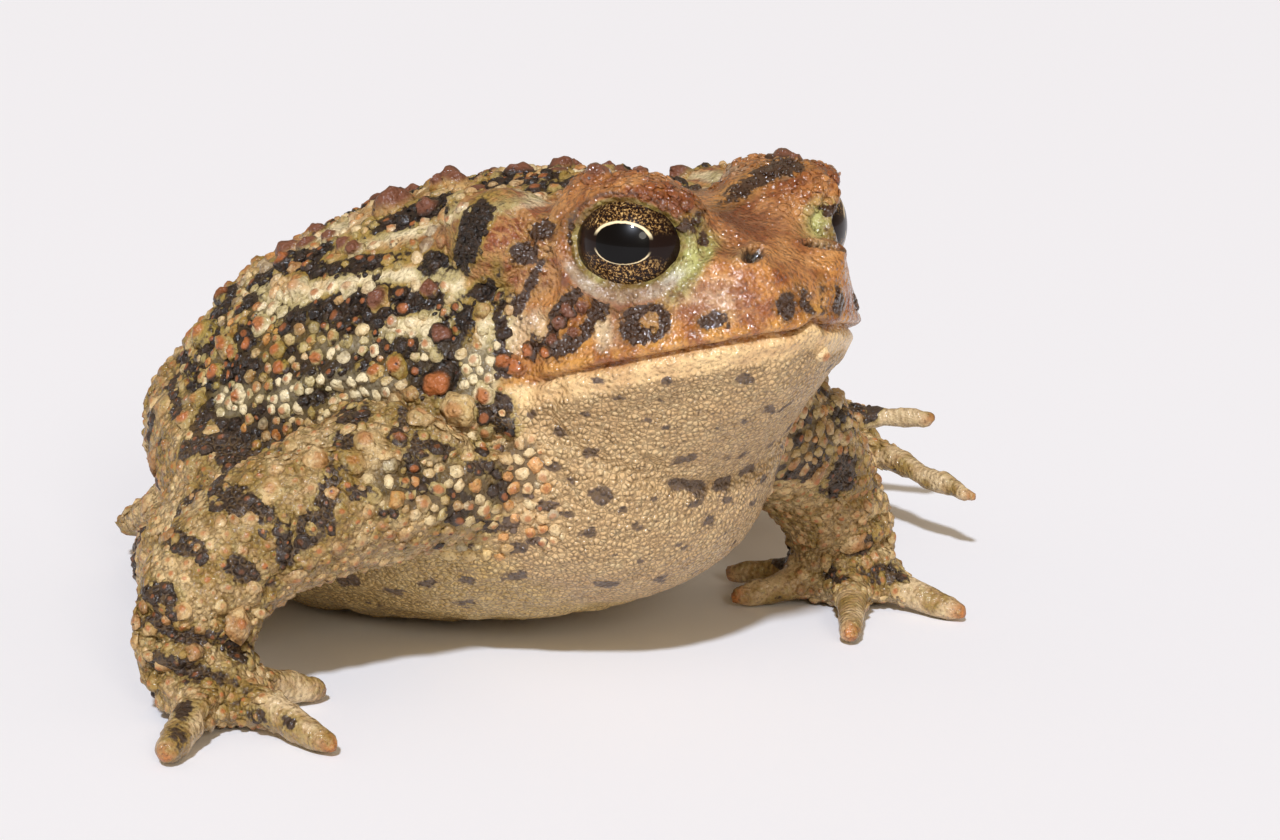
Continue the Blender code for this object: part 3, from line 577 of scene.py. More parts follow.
HEAD_BLOTCHES = [
    (541, 230, 14, 12, 30), (526, 253, 15, 12, 10), (532, 282, 32, 6, 62), (512, 308, 12, 9, 0),
    (572, 322, 42, 25, 48), (536, 343, 12, 11, 0), (647, 324, 24, 19, 10),
    (716, 322, 13, 8, 22), (786, 306, 7, 11, 0), (822, 300, 3, 10, 0),
    (573, 235, 3, 9, 0), (704, 240, 4, 6, 0), (692, 222, 9, 4, 30), (563, 184, 24, 6, 15),
    (492, 406, 22, 13, 0), (506, 427, 14, 8, 0), (690, 187, 8, 3, 0),
]
BLOTCH_HOLES = [(577, 316, 24, 9, 50), (649, 320, 11, 8, 0), (375, 300, 12, 5, 0), (452, 322, 7, 8, 0)]
FAR_BROW_BLOTCHES = [(757, 178, 30, 6, 32), (740, 190, 10, 6, 20), (784, 165, 12, 5, 0)]
# Of these arm marks, (186, 634) and (165, 618) lie along the wrist's creases and are painted shade in them,
# not blotches.
ARM_BLOTCHES_AND_CREASE_SHADE = [
    (217, 490, 8, 14, 0), (246, 505, 25, 11, -22), (283, 528, 6, 10, 0), (285, 553, 8, 9, 0),
    (185, 545, 18, 8, 0), (247, 570, 17, 8, -30), (160, 593, 16, 10, 0), (186, 634, 26, 5, -8),
    (165, 618, 10, 5, 0), (155, 661, 9, 8, 0), (192, 669, 19, 6, -20), (238, 650, 14, 7, -50),
    (182, 709, 7, 5, 0), (259, 715, 5, 3, 0), (290, 723, 4, 3, 0), (325, 502, 25, 8, 80),
    (308, 530, 14, 8, 80), (846, 466, 10, 16, 0), (833, 488, 14, 8, 10), (812, 470, 8, 12, 0),
    (830, 574, 6, 8, 0), (890, 572, 12, 7, 0), (838, 412, 9, 8, 0), (862, 545, 12, 6, 20),
]
CHEST_BLOTCHES = [
    (415, 455, 32, 10, 80), (370, 492, 24, 9, 0), (420, 486, 22, 10, 0), (455, 516, 14, 9, 0),
    (485, 526, 24, 9, -8), (470, 500, 10, 8, 0), (503, 488, 9, 12, 0), (510, 521, 9, 11, 0),
    (390, 512, 14, 7, 0), (545, 506, 14, 8, 0), (552, 465, 12, 9, 0), (600, 498, 15, 9, 0),
    (540, 540, 12, 7, 0), (640, 527, 12, 6, 0), (697, 486, 12, 9, 0), (745, 470, 12, 7, 20),
    (590, 452, 11, 6, 0), (590, 533, 10, 6, 0), (655, 498, 8, 6, 0), (495, 440, 14, 6, 0),
    (600, 497, 18, 12, 0), (568, 515, 8, 6, 0), (520, 548, 14, 6, 0), (475, 548, 10, 5, 0),
    (620, 510, 8, 5, 0), (440, 448, 30, 9, -25), (484, 468, 26, 8, -22), (432, 478, 14, 8, 0),
    (456, 494, 12, 7, 0), (400, 430, 12, 10, 0), (572, 480, 8, 5, 0), (528, 492, 7, 7, 0),
    (445, 532, 10, 5, 0), (655, 522, 9, 5, 0), (728, 498, 8, 5, 0),
]
BELLY_SPOTS = [
    (300, 572, 10, 4, 0), (345, 581, 16, 8, 0), (396, 591, 11, 5, 0), (424, 584, 14, 6, 0),
    (464, 581, 10, 4, 0), (516, 575, 14, 6, 0), (405, 550, 5, 5, 0), (491, 556, 8, 4, 0),
    (465, 602, 12, 6, 0), (370, 604, 14, 5, 0), (560, 560, 9, 4, 0), (605, 585, 12, 5, 0),
    (640, 560, 8, 4, 0), (680, 545, 9, 5, 0), (570, 598, 9, 4, 0), (710, 520, 8, 6, 0),
    (440, 548, 6, 4, 0), (660, 580, 8, 4, 0), (620, 555, 6, 3, 0), (540, 575, 5, 3, 0),
]
THROAT_SPOTS = [
    (745, 380, 9, 5, 0), (717, 370, 4, 3, 0), (668, 381, 5, 3, 0), (660, 400, 6, 4, 0),
    (590, 402, 7, 2, 0), (585, 415, 5, 3, 0), (620, 398, 7, 3, 0), (560, 434, 9, 6, 0),
    (664, 428, 6, 4, 0), (648, 420, 4, 2, 0), (612, 440, 6, 4, 0), (665, 448, 5, 4, 0),
    (693, 446, 6, 3, 0), (677, 457, 4, 3, 0), (629, 456, 5, 3, 0), (632, 468, 8, 3, 0),
    (550, 465, 9, 8, 0), (770, 410, 6, 5, 0), (610, 475, 7, 4, 0),
    (725, 458, 7, 3, 10), (745, 420, 5, 3, 30), (770, 445, 6, 5, 0), (600, 380, 9, 3, 0),
    (720, 430, 4, 2, 0), (700, 412, 4, 2, 0), (530, 415, 8, 7, 0),
]
PALE_PATCHES = [
    (300, 298, 26, 9, 30), (345, 282, 30, 8, 10), (400, 275, 34, 7, 3), (445, 273, 20, 8, 0),
    (458, 288, 8, 12, 0), (436, 318, 14, 12, 45), (424, 345, 9, 26, 0), (400, 327, 32, 8, 15),
    (345, 346, 40, 9, 5), (345, 383, 46, 13, -5), (285, 393, 28, 15, 20), (230, 400, 22, 18, 50),
    (480, 372, 20, 28, 0), (488, 335, 10, 16, 0), (517, 332, 14, 20, 0), (395, 410, 20, 18, 0),
    (268, 310, 10, 22, -35), (405, 232, 40, 6, 12), (720, 177, 22, 4, -8), (540, 325, 8, 14, 0),
    (465, 413, 12, 14, 0), (330, 232, 24, 5, 20), (262, 290, 10, 6, 40), (600, 330, 7, 14, 10),
]
# Where the beads stand closest on the chest.
CHEST_BEADS = [(440, 490, 105, 44, -12), (520, 470, 40, 50, 0), (545, 530, 30, 22, 0)]


def linear(code):
    """A colour written as hexadecimal sRGB, made linear."""
    parts = [int(code[i : i + 2], 16) / 255 for i in (1, 3, 5)]
    return np.array([c / 12.92 if c <= 0.04045 else ((c + 0.055) / 1.055) ** 2.4 for c in parts])


BACK_TAN = "#bd9358"
FLANK_OLIVE = "#b0924f"
CHEST_CREAM = "#dcbd82"
BELLY_CREAM = "#d9b672"
THROAT_BUFF = "#dbb681"
LIMB_BUFF = "#c4a571"
DIGIT_BUFF = "#d3b78a"
DIGIT_TIP = "#bb7438"
HEAD_RUST = "#bd8046"
CROWN_BROWN = "#ab754a"
CHEEK_ORANGE = "#cb8a44"
LIP_ORANGE = "#cf9345"
LIP_CREAM = "#f0cb90"
LID_GREY = "#c2b8a2"
LID_GREEN = "#b7b36c"
LID_RIM = "#9a8c46"
LID_CREASE_SHADE = "#4c2c19"
NOSTRIL_SHADE = "#140c0a"
EAR_OLIVE = "#a68c58"
GLAND_BROWN = "#ae7b48"
BEAD_CREAM = "#f2dfae"
BEAD_ORANGE = "#d28a42"
BEAD_GREY = "#a09a84"
NOSTRIL_BUFF = "#b5a878"
ARM_OCHRE = "#b98a50"
CHEEK_PALE = "#cfbfa6"
CHEEK_CREAM = "#e6cfa8"
SNOUT_CREAM_AND_HIGHLIGHT = "#e0c09c"
SNOUT_ORANGE = "#d3a474"
SNOUT_GREY = "#c9bf9c"
SNOUT_TAN = "#c2a06c"

# Soft washes of colour: (u, v, half length, half height, tilt, colour, strength).
WASHES = [
    (700, 215, 120, 42, -8, HEAD_RUST, 1.0), (740, 300, 100, 44, 5, CHEEK_ORANGE, 1.0),
    (640, 330, 90, 40, 8, CHEEK_ORANGE, 0.9), (590, 335, 40, 40, 0, CHEEK_ORANGE, 0.7),
    (570, 240, 26, 60, 0, HEAD_RUST, 0.9), (750, 218, 70, 22, -12, CROWN_BROWN, 0.85),
    (820, 290, 22, 40, 20, CROWN_BROWN, 0.5), (690, 195, 40, 20, -20, HEAD_RUST, 0.7),
    (640, 193, 60, 16, -8, HEAD_RUST, 0.9), (800, 185, 34, 30, 0, HEAD_RUST, 1.0),
    (480, 230, 100, 44, 0, GLAND_BROWN, 1.0), (530, 215, 44, 34, 0, GLAND_BROWN, 0.9),
    (543, 277, 14, 27, -10, EAR_OLIVE, 1.0), (742, 254, 24, 11, 0, NOSTRIL_BUFF, 0.85),
    (650, 320, 18, 16, 0, EAR_OLIVE, 0.8), (845, 500, 34, 60, 0, ARM_OCHRE, 0.5),
    (640, 300, 44, 6, 6, CHEEK_PALE, 0.7), (610, 330, 18, 34, 10, CHEEK_CREAM, 0.85),
    # The cream wash at (712, 300) is partly the cheek's own cream and partly a painted highlight on its wet
    # skin.
    (712, 300, 46, 26, 10, SNOUT_CREAM_AND_HIGHLIGHT, 0.9), (748, 312, 26, 16, 10, SNOUT_ORANGE, 0.75),
    (688, 265, 8, 20, 10, SNOUT_GREY, 0.8), (700, 345, 60, 9, 8, LIP_ORANGE, 0.8),
    (736, 190, 34, 7, -12, SNOUT_TAN, 0.6),
]


def mixed(base, code, weight):
    """The base colours with a wash of another over them, by each point's weight."""
    return base + (linear(code) - base) * np.asarray(weight)[:, None]


def node_surface(names):
    bm = bmesh.new()
    for name in names:
        bm.from_mesh(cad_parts[name].data)
    tree = BVHTree.FromBMesh(bm)
    bm.free()
    return tree


def distances(tree, points):
    return np.array([tree.find_nearest(Vector(p))[3] for p in points]) / MM


TRUNK = ["torso", "head", "lower_jaw"]
DIGITS = [name for name in flesh if name.startswith(("finger", "toe"))]
LIMBS = [name for name in flesh if name not in TRUNK + DIGITS]


def digit_measures(points, weight):
    """How far along its digit each point near one lies, and how far from its tip, in millimetres."""
    along = np.zeros(len(points))
    from_tip = np.full(len(points), 99.0)
    nearest = np.full(len(points), 1e9)
    near = np.flatnonzero(weight > 0.01)
    for name in DIGITS:
        tag = name.rsplit("_", 1)[1]
        low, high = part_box(("hand_" if name.startswith("finger") else "foot_") + tag)
        root = np.array((low + high) / 2)
        corners = mesh_vectors(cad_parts[name].data, "co")
        tip = corners[np.argmax(np.linalg.norm(corners - root, axis=1))]
        axis = (tip - root) / np.linalg.norm(tip - root)
        distance = distances(node_surface([name]), points[near])
        chosen = near[distance < nearest[near]]
        along[chosen] = (points[chosen] - root) @ axis / MM
        from_tip[chosen] = np.linalg.norm(points[chosen] - tip, axis=1) / MM
        nearest[near] = np.minimum(nearest[near], distance)
    return along, from_tip


# A thin pale stripe runs down the middle of the back, with pairs of blotches beside it, given as
# how far back, how far out from the middle, and radius.
BACK_STRIPE_HALF_WIDTH = 0.55
PAIRED_BLOTCHES = [
    (-8, 3.6, 1.8), (-1, 4.6, 2.2), (8, 4.2, 2.0), (16, 5.2, 2.3), (25, 4.2, 2.0), (33, 3.6, 1.7),
]
# Elsewhere the depth is a little below nought, so that only the wander of the edges makes flecks.
FLECKS_BELOW = -0.36
LIMB_FLECKS = 0.06
# Each kind of mark is widened by its spread, because its frayed edge makes it look smaller.
BACK_SPREAD = 0.2
HEAD_SPREAD = 0.1
ARM_SPREAD = 0.25
PALE_SPREAD = 0.3
PALE_WINS = 0.45
BLOTCH_SEED = 5
LIMB_BLOTCHES = {"thigh": 13, "shank": 10, "foot": 8, "upper_arm": 6, "forearm": 6, "hand": 4, "torso": 16}
LIMB_BLOTCH_RADII = (1.1, 2.6)
# A place is unseen where the surface looks away from the camera by more than this.
UNSEEN = -0.05
RUMP_START = 20.0
GLAND_WASH_RADII = (4.8, 7.6, 4.6)
# Radii of beads and cones, and how thickly they stand on back and limbs, from nought to one.
BACK_BEAD_SIZE = 0.72
FLANK_BEAD_SIZE = 0.60
LIMB_CONE_SIZE = 0.68
BACK_BEADS = 0.16
LIMB_CONES = 0.36


def unseen_blotches(points):
    """Random blotches on what the picture doesn't show: hind legs, the arms' far sides and the rump."""
    chance = random.Random(BLOTCH_SEED)
    depth = np.full(len(points), FAR_FROM_MARK)
    for kind, count in LIMB_BLOTCHES.items():
        for name in [n for n in flesh if n.startswith(kind)]:
            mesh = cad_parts[name].data
            for _ in range(count * (2 if kind == "torso" else 1)):
                face = mesh.polygons[chance.randrange(len(mesh.polygons))]
                radius = chance.uniform(*LIMB_BLOTCH_RADII)
                if kind == "torso" and body_coordinates(np.array(face.center))[1] < RUMP_START:
                    continue
                if kind not in ("thigh", "shank", "foot") and face.normal.dot(camera_back) > UNSEEN:
                    continue
                away = np.linalg.norm(points - np.array(face.center), axis=1) / MM
                depth = np.maximum(depth, radius - away)
    return depth


def regions_of(points, normals):
    """How far each point belongs to each region of the body, from nought to one, and where it lies."""
    at = body_coordinates(points)
    _, y, z = at.T
    up = normals[:, 2]
    kinds = (TRUNK, LIMBS, DIGITS)
    to_trunk, to_limbs, to_digits = (distances(node_surface(names), points) for names in kinds)
    limb = soft_step(to_trunk - np.minimum(to_limbs, to_digits), -0.6, 1.2)
    digit = soft_step(np.minimum(to_limbs, to_trunk) - to_digits, -0.8, 0.8)
    along, from_tip = digit_measures(points, digit)
    over = above_mouth(at)
    head = soft_step(-y, 10.0, 13.0) * (1 - limb)
    jaw = head * (1 - soft_step(over, -0.3, 0.3))
    return SimpleNamespace(
        at=at,
        up=up,
        limb=limb,
        digit=digit,
        along=along,
        from_tip=from_tip,
        head=head,
        crown=head * soft_step(over, -0.3, 0.3),
        belly=(1 - soft_step(z + 5 * up, 7.0, 14.0)) * (1 - limb),
        chest=soft_step(-y, -4.0, 4.0) * (1 - soft_step(z, 22.0, 27.0)) * (1 - limb),
        throat=soft_step(-y, 8.0, 12.0) * (1 - soft_step(over, -0.4, 0.0)) * (1 - limb),
        upper_lip=head * soft_step(over, 0.0, 0.15) * (1 - soft_step(over, 1.0, 1.7)),
        lower_lip=jaw * (1 - soft_step(-over, 1.5, 2.3)),
    )


def washed_lids(at, ground):
    """The ground with the lids' colours and the painted shade of their creases over it, and how far each
    point belongs to a lid.
    """
    lids = np.zeros(len(at))
    for side in (1, -1):
        beyond, above, forward, reach = lid_coordinates(at, side)
        near = 1 - soft_step(reach, 6.6, 7.8)
        edge = np.hypot(np.maximum(beyond, 0), np.maximum(reach - EYE_RADIUS - 0.1, 0))
        low_lid = near * soft_step(-above, 0.15, 0.6) * (1 - soft_step(edge, 1.2, 1.7))
        front = near * soft_step(forward, 0.45, 0.85) * (1 - soft_step(beyond, 1.5, 3.2))
        rim = near * (1 - soft_step(edge, 0.34, 0.52))
        # Painted shade in the fold over the upper lid and in the crease under the lower lid.
        upper_crease_shade = near * soft_step(above, -0.1, 0.3) * bell(edge, 0.8, 0.17)
        lower_crease_shade = 0.5 * near * soft_step(-above, 0.0, 0.3) * bell(edge, 2.0, 0.22)
        ground = mixed(ground, LID_GREEN, front * (1 - soft_step(above, 0.3, 0.6)))
        ground = mixed(ground, LID_GREY, low_lid)
        ground = mixed(ground, LID_CREASE_SHADE, 0.75 * np.maximum(upper_crease_shade, lower_crease_shade))
        ground = mixed(ground, LID_RIM, 0.9 * rim)
        lids = np.maximum(lids, np.maximum(low_lid, rim))
    return ground, lids


def ground_colour(points, region):
    """The colour under the markings, laid on wash by wash with painted shade in the nostrils and lid creases,
    and how far each point belongs to a lid.
    """
    layers = [
        (FLANK_OLIVE, (1 - soft_step(region.at[:, 2], 24.0, 32.0)) * (1 - region.head)),
        (CHEST_CREAM, region.chest),
        (BELLY_CREAM, region.belly),
        (THROAT_BUFF, region.throat),
        (HEAD_RUST, region.crown),
        (LIMB_BUFF, region.limb),
    ]
    for *mark, code, strength in WASHES:
        depth = np.maximum(*(mark_depth(p, mark) for p in (points, mirrored(points))))
        layers.append((code, strength * soft_step(depth, -0.4, 1.6) * (1 - 0.6 * region.limb)))
    layers += [
        (DIGIT_BUFF, region.digit),
        (DIGIT_TIP, region.digit * (1 - soft_step(region.from_tip, 0.8, 2.8))),
        (LIP_ORANGE, 0.8 * region.upper_lip),
        (LIP_CREAM, region.lower_lip),
    ]
    ground = np.tile(linear(BACK_TAN), (len(points), 1))
    for code, weight in layers:
        ground = mixed(ground, code, weight)
    ground, lids = washed_lids(region.at, ground)
    # Painted shade fills each nostril's hollow.
    for seen in (points, mirrored(points)):
        reach = oval_reach(seen, nostril_point, NOSTRIL_RADII, NOSTRIL_TILT)
        ground = mixed(ground, NOSTRIL_SHADE, 1 - soft_step(reach, 0.95, 1.3))
    return ground, lids


def marking_depths(points, region):
    """How deep each point lies inside a dark blotch or painted crease shade, a pale patch, and a spot of
    chest, belly or throat.
    """
    x, y, _ = region.at.T
    dark = both_sides(points, BACK_BLOTCHES) + BACK_SPREAD
    dark = np.maximum(dark, both_sides(points, HEAD_BLOTCHES) + HEAD_SPREAD)
    dark = np.maximum(dark, deepest(points, ARM_BLOTCHES_AND_CREASE_SHADE + FAR_BROW_BLOTCHES) + ARM_SPREAD)
    dark = np.minimum(dark, -both_sides(points, BLOTCH_HOLES))
    back = (1 - region.limb) * soft_step(region.up, 0.2, 0.4)
    for along_back, outward, radius in PAIRED_BLOTCHES:
        away = np.hypot(np.abs(x) - outward, 0.75 * (y - along_back))
        dark = np.maximum(dark, np.where(back > 0.5, radius - away, FAR_FROM_MARK))
    pale = both_sides(points, PALE_PATCHES) + PALE_SPREAD - 2 * region.limb
    stripe = BACK_STRIPE_HALF_WIDTH - np.abs(x) - 4 * (1 - back) - 9 * soft_step(-y, 13.0, 15.0)
    pale = np.maximum(pale, stripe)
    dark = np.minimum(dark, PALE_WINS - pale)
    dark = np.maximum(dark, unseen_blotches(points))
    unflecked = np.maximum.reduce([region.head, region.belly, region.chest, region.throat])
    dark = np.maximum(dark, FLECKS_BELOW + LIMB_FLECKS * region.limb - 3 * unflecked)
    return dark, pale, both_sides(points, CHEST_BLOTCHES + BELLY_SPOTS + THROAT_SPOTS)


def hide_fields(points, normals):
    """Every number that the hide's material and its beads need, for each point."""
    region = regions_of(points, normals)
    ground, lids = ground_colour(points, region)
    dark, pale, spots = marking_depths(points, region)
    x, y, z = region.at.T
    limb, digit, head, chest = region.limb, region.digit, region.head, region.chest
    below = np.maximum(region.belly, region.throat)
    measures = zip((np.abs(x), y, z), GLAND_CENTRE, GLAND_WASH_RADII)
    gland = sum(((value - centre) / radius) ** 2 for value, centre, radius in measures)
    ear = np.minimum(*(oval_reach(p, ear_point, EAR_RADII, 0.0) for p in (points, mirrored(points))))
    bare = np.maximum.reduce([digit, region.lower_lip, region.upper_lip, 1 - soft_step(ear, 1.1, 1.4), lids])
    beadless = soft_step(bare, 0.3, 0.6)
    fields = {
        "ground": ground,
        "dark": np.where(lids > 0.4, FAR_FROM_MARK, np.maximum(dark, spots - 0.1)),
        "faded": np.maximum(soft_step(spots - dark, 0.0, 0.3) * below, 0.18 * limb),
        "pale": pale,
        "gland": (1 - soft_step(gland, 0.85, 1.15)) * (1 - limb),
        "along": region.along,
        "digit": digit * soft_step(region.from_tip, 1.0, 2.5),
        "wet": np.maximum(region.crown * (1 - 0.5 * lids), 0.4 * region.lower_lip),
        "plain": below,
        "limb": limb,
    }
    # Where beads stand close there is no mosaic, and the other way round.
    beaded = soft_step(both_sides(points, CHEST_BEADS), 0.0, 2.2)
    side_of_chest = soft_step(np.abs(x) + 0.25 * (y + 10), 8.0, 11.0)
    flank = (1 - soft_step(z, 26.0, 33.0)) * (1 - head) * (1 - limb)
    flat_parts = [region.belly, region.throat * (1 - region.lower_lip), chest * (1 - side_of_chest)]
    mosaic = np.maximum.reduce(flat_parts) * (1 - limb)
    # How thickly beads stand, from the bare throat to the close-set flank, and their radius.
    thick = (BACK_BEADS + (1 - BACK_BEADS) * flank) * (1 - mosaic)
    thick = np.maximum(np.where(limb > 0.5, LIMB_CONES, thick), beaded)
    thick = thick * (1 - 0.7 * soft_step(pale, 0.0, 0.4) * soft_step(z, 28.0, 32.0))
    thick = thick * (1 - soft_step(region.crown, 0.3, 0.6)) * (1 - fields["gland"]) * (1 - beadless)
    size = BACK_BEAD_SIZE + (FLANK_BEAD_SIZE - BACK_BEAD_SIZE) * np.maximum(flank, chest)
    fields["bead_size"] = np.where(limb > 0.5, LIMB_CONE_SIZE, size)
    fields["thick"] = thick
    fields["beaded"] = beaded
    fields["mosaic"] = np.maximum(mosaic, 0.85 * limb * (1 - digit)) * (1 - beaded)
    brow = soft_step(z, 39.6, 40.6) * head * (1 - soft_step(np.abs(np.abs(x) - 8.2), 3.4, 4.4))
    fields["brow"] = brow * (1 - soft_step(lids, 0.1, 0.3)) * soft_step(-y, 12.5, 13.5)
    grain = soft_step(fields["dark"], -0.2, 0.2) * (1 - fields["mosaic"])
    fields["grain"] = np.maximum(grain, 0.25 * limb) * (1 - beadless)
    return fields


ATTRIBUTES = (
    "dark", "pale", "faded", "tip", "rust", "seam", "gland", "along", "digit", "wet", "mosaic", "plain",
)


def paint(mesh, fields):
    """Stores the fields that the material reads on the mesh's own vertices."""
    for name in ATTRIBUTES:
        attribute = mesh.attributes.new(name, "FLOAT", "POINT")
        attribute.data.foreach_set("value", fields[name].astype(np.float32))
    colours = np.hstack([fields["ground"], np.ones((len(fields["ground"]), 1))])
    attribute = mesh.attributes.new("ground", "FLOAT_COLOR", "POINT")
    attribute.data.foreach_set("color", colours.astype(np.float32).ravel())


hide = hide_fields(hide_points, hide_normals)
hide["tip"] = np.zeros(len(hide_points))
hide["rust"] = np.zeros(len(hide_points))
# Painted shade on the hide between close-set beads, darker where they stand thick.
hide["seam"] = soft_step(hide["thick"], 0.35, 0.8)
paint(skin.data, hide)

# Warts and beads
# The hide is set with hard, horny grains: large warts on the back, close beads on the flanks and
# chest, low cones on the limbs and bumps on the brows. Each is a dome with its root sunk in the hide.

# Large warts that the picture shows, as (u, v, radius in pixels), and those with pale or orange caps.
WARTS = [
    (395, 208, 23), (374, 196, 18), (428, 210, 14), (379, 300, 15), (350, 288, 11), (439, 383, 22),
    (441, 334, 12), (355, 250, 12), (290, 252, 18), (308, 246, 14), (490, 172, 15), (520, 174, 16),
    (598, 177, 17), (682, 178, 15), (430, 289, 11), (505, 362, 12), (484, 395, 14), (458, 410, 18),
    (516, 366, 12), (568, 310, 10), (582, 306, 9), (560, 322, 9), (574, 332, 8), (552, 340, 8),
    (546, 352, 9), (530, 350, 10), (420, 418, 14), (376, 372, 10), (397, 365, 14), (262, 326, 13),
    (225, 345, 14), (277, 350, 10), (318, 358, 10), (281, 368, 11), (300, 283, 13), (250, 345, 10),
    (367, 443, 18), (398, 440, 12), (352, 462, 14), (300, 290, 14), (455, 182, 14), (640, 172, 9),
    (285, 262, 12), (318, 232, 11), (345, 215, 11), (362, 205, 13), (412, 190, 13), (440, 184, 11),
    (470, 178, 12), (560, 172, 10), (620, 172, 10), (215, 372, 11), (200, 400, 12), (240, 395, 11),
    (186, 420, 11), (233, 352, 10), (345, 245, 11), (330, 238, 10),
]
PALE_WARTS = [
    (367, 443), (398, 440), (352, 462), (458, 410), (300, 283), (300, 290), (350, 288), (200, 400),
    (420, 418),
]
ORANGE_WARTS = [
    (439, 383), (505, 362), (484, 395), (516, 366), (546, 352), (530, 350), (376, 372), (397, 365),
    (318, 358), (285, 262), (225, 345), (277, 350), (281, 368), (262, 326), (250, 345), (215, 372),
    (240, 395), (186, 420), (233, 352), (345, 215),
]
# How ripe a wart's cap is.
PALE_CAP, ORANGE_CAP, DARK_CAP = 0.5, 0.935, 1.0
# The picture doesn't show the rump, so its warts are set at random.
MIRROR_SCATTER = 1.0 * MM
RUMP_TRIES = 156
RUMP_WART_RADII = (0.9, 1.6)
RUMP_LOWEST = 14 * MM
WARTS_APART = 2.2
BEAD_SEED = 11
CANDIDATES = 80000
BEAD_CLOSENESS = 0.86
# The largest beads are set first, and smaller ones fill the room left between them.
BEAD_SIZE_SHARES = (1.0, 0.8, 0.62)
BEAD_VARIES = (0.75, 1.2)
BARE_BELOW = 0.05
LARGE_CONE_SHARE = 0.1
LARGE_CONE = 1.7
BROW_BUMP = 0.46
BROW_BUMP_VARIES = (0.7, 1.3)
GRAIN_RADIUS = 0.3
GRAIN_VARIES = (0.7, 1.25)
# The share of the likely places that carry a bump or a grain.
SMALL_SHARE = 0.7
BEAD_PIECE = 2600
CELL = 2.2 * MM
DOME_ROOT = -0.3


def dome_pattern(sides, levels):
    """A dome of unit radius on a short root, closed below: its points and faces."""
    bm = bmesh.new()
    bmesh.ops.create_uvsphere(bm, u_segments=sides, v_segments=levels, radius=1.0)
    whole = bm.verts[:] + bm.edges[:] + bm.faces[:]
    cut = bmesh.ops.bisect_plane(
        bm, geom=whole, plane_co=(0, 0, DOME_ROOT), plane_no=(0, 0, -1), clear_outer=True
    )
    rim = [e for e in cut["geom_cut"] if isinstance(e, bmesh.types.BMEdge)]
    bmesh.ops.contextual_create(bm, geom=rim)
    bmesh.ops.recalc_face_normals(bm, faces=bm.faces)
    bmesh.ops.triangulate(bm, faces=bm.faces)
    points = np.array([v.co for v in bm.verts])
    faces = np.array([[v.index for v in f.verts] for f in bm.faces])
    bm.free()
    return points, faces


def random_spots(count):
    """Points spread evenly over the hide: the vertex next to each, and its place."""
    mesh = skin.data
    mesh.calc_loop_triangles()
    corners = np.empty(len(mesh.loop_triangles) * 3, np.int32)
    mesh.loop_triangles.foreach_get("vertices", corners)
    corners = corners.reshape(-1, 3)
    a, b, c = (hide_points[corners[:, k]] for k in range(3))
    area = np.linalg.norm(np.cross(b - a, c - a), axis=1)
    draw = np.random.default_rng(BEAD_SEED)
    chosen = draw.choice(len(corners), count, p=area / area.sum())
    share = draw.random((count, 2))
    beyond_edge = share.sum(axis=1) > 1
    share[beyond_edge] = 1 - share[beyond_edge]
    s, t = share[:, :1], share[:, 1:]
    places = a[chosen] * (1 - s - t) + b[chosen] * s + c[chosen] * t
    return corners[chosen, 0].tolist(), places.tolist()


chance = random.Random(BEAD_SEED)
cells = {}
beads = []


def cell_of(point):
    return tuple(int(math.floor(c / CELL)) for c in point)


def has_room(point, radius):
    """True where no bead already set stands too near."""
    ci, cj, ck = cell_of(point)
    for i in (ci - 1, ci, ci + 1):
        for j in (cj - 1, cj, cj + 1):
            for k in (ck - 1, ck, ck + 1):
                for x, y, z, r in cells.get((i, j, k), ()):
                    least = (radius + r) * BEAD_CLOSENESS
                    if (x - point[0]) ** 2 + (y - point[1]) ** 2 + (z - point[2]) ** 2 < least * least:
                        return False
    return True


def set_bead(point, radius, vertex, kind, rust):
    cells.setdefault(cell_of(point), []).append((*point, radius))
    beads.append((point, radius, vertex, kind, rust))


def nearest_vertex(point):
    _, _, face, _ = hide_surface.find_nearest(point)
    return skin.data.polygons[face].vertices[0]


for u, v, size in WARTS:
    hit, distance = seen_at(u, v)
    rust = PALE_CAP if (u, v) in PALE_WARTS else ORANGE_CAP if (u, v) in ORANGE_WARTS else DARK_CAP
    for mirror in (False, True):
        spot = hit.copy()
        if mirror:
            spot.x = 2 * body_shift.x - spot.x
            spot.y += chance.uniform(-1.0, 1.0) * MIRROR_SCATTER
            spot = hide_surface.find_nearest(spot)[0]
        set_bead(tuple(spot), size * distance / FOCAL_PIXELS, nearest_vertex(spot), "wart", rust)

vertices, places = random_spots(CANDIDATES)
rump = [i for i in range(CANDIDATES) if hide["thick"][vertices[i]] > 0.1 and places[i][2] > RUMP_LOWEST]
rump = [i for i in rump if places[i][1] - body_shift.y > RUMP_START * MM and hide["limb"][vertices[i]] < 0.1]
for i in rump[:RUMP_TRIES]:
    radius = chance.uniform(*RUMP_WART_RADII) * MM
    if has_room(places[i], radius * WARTS_APART):
        set_bead(places[i], radius, vertices[i], "wart", chance.uniform(0.3, 1.0))

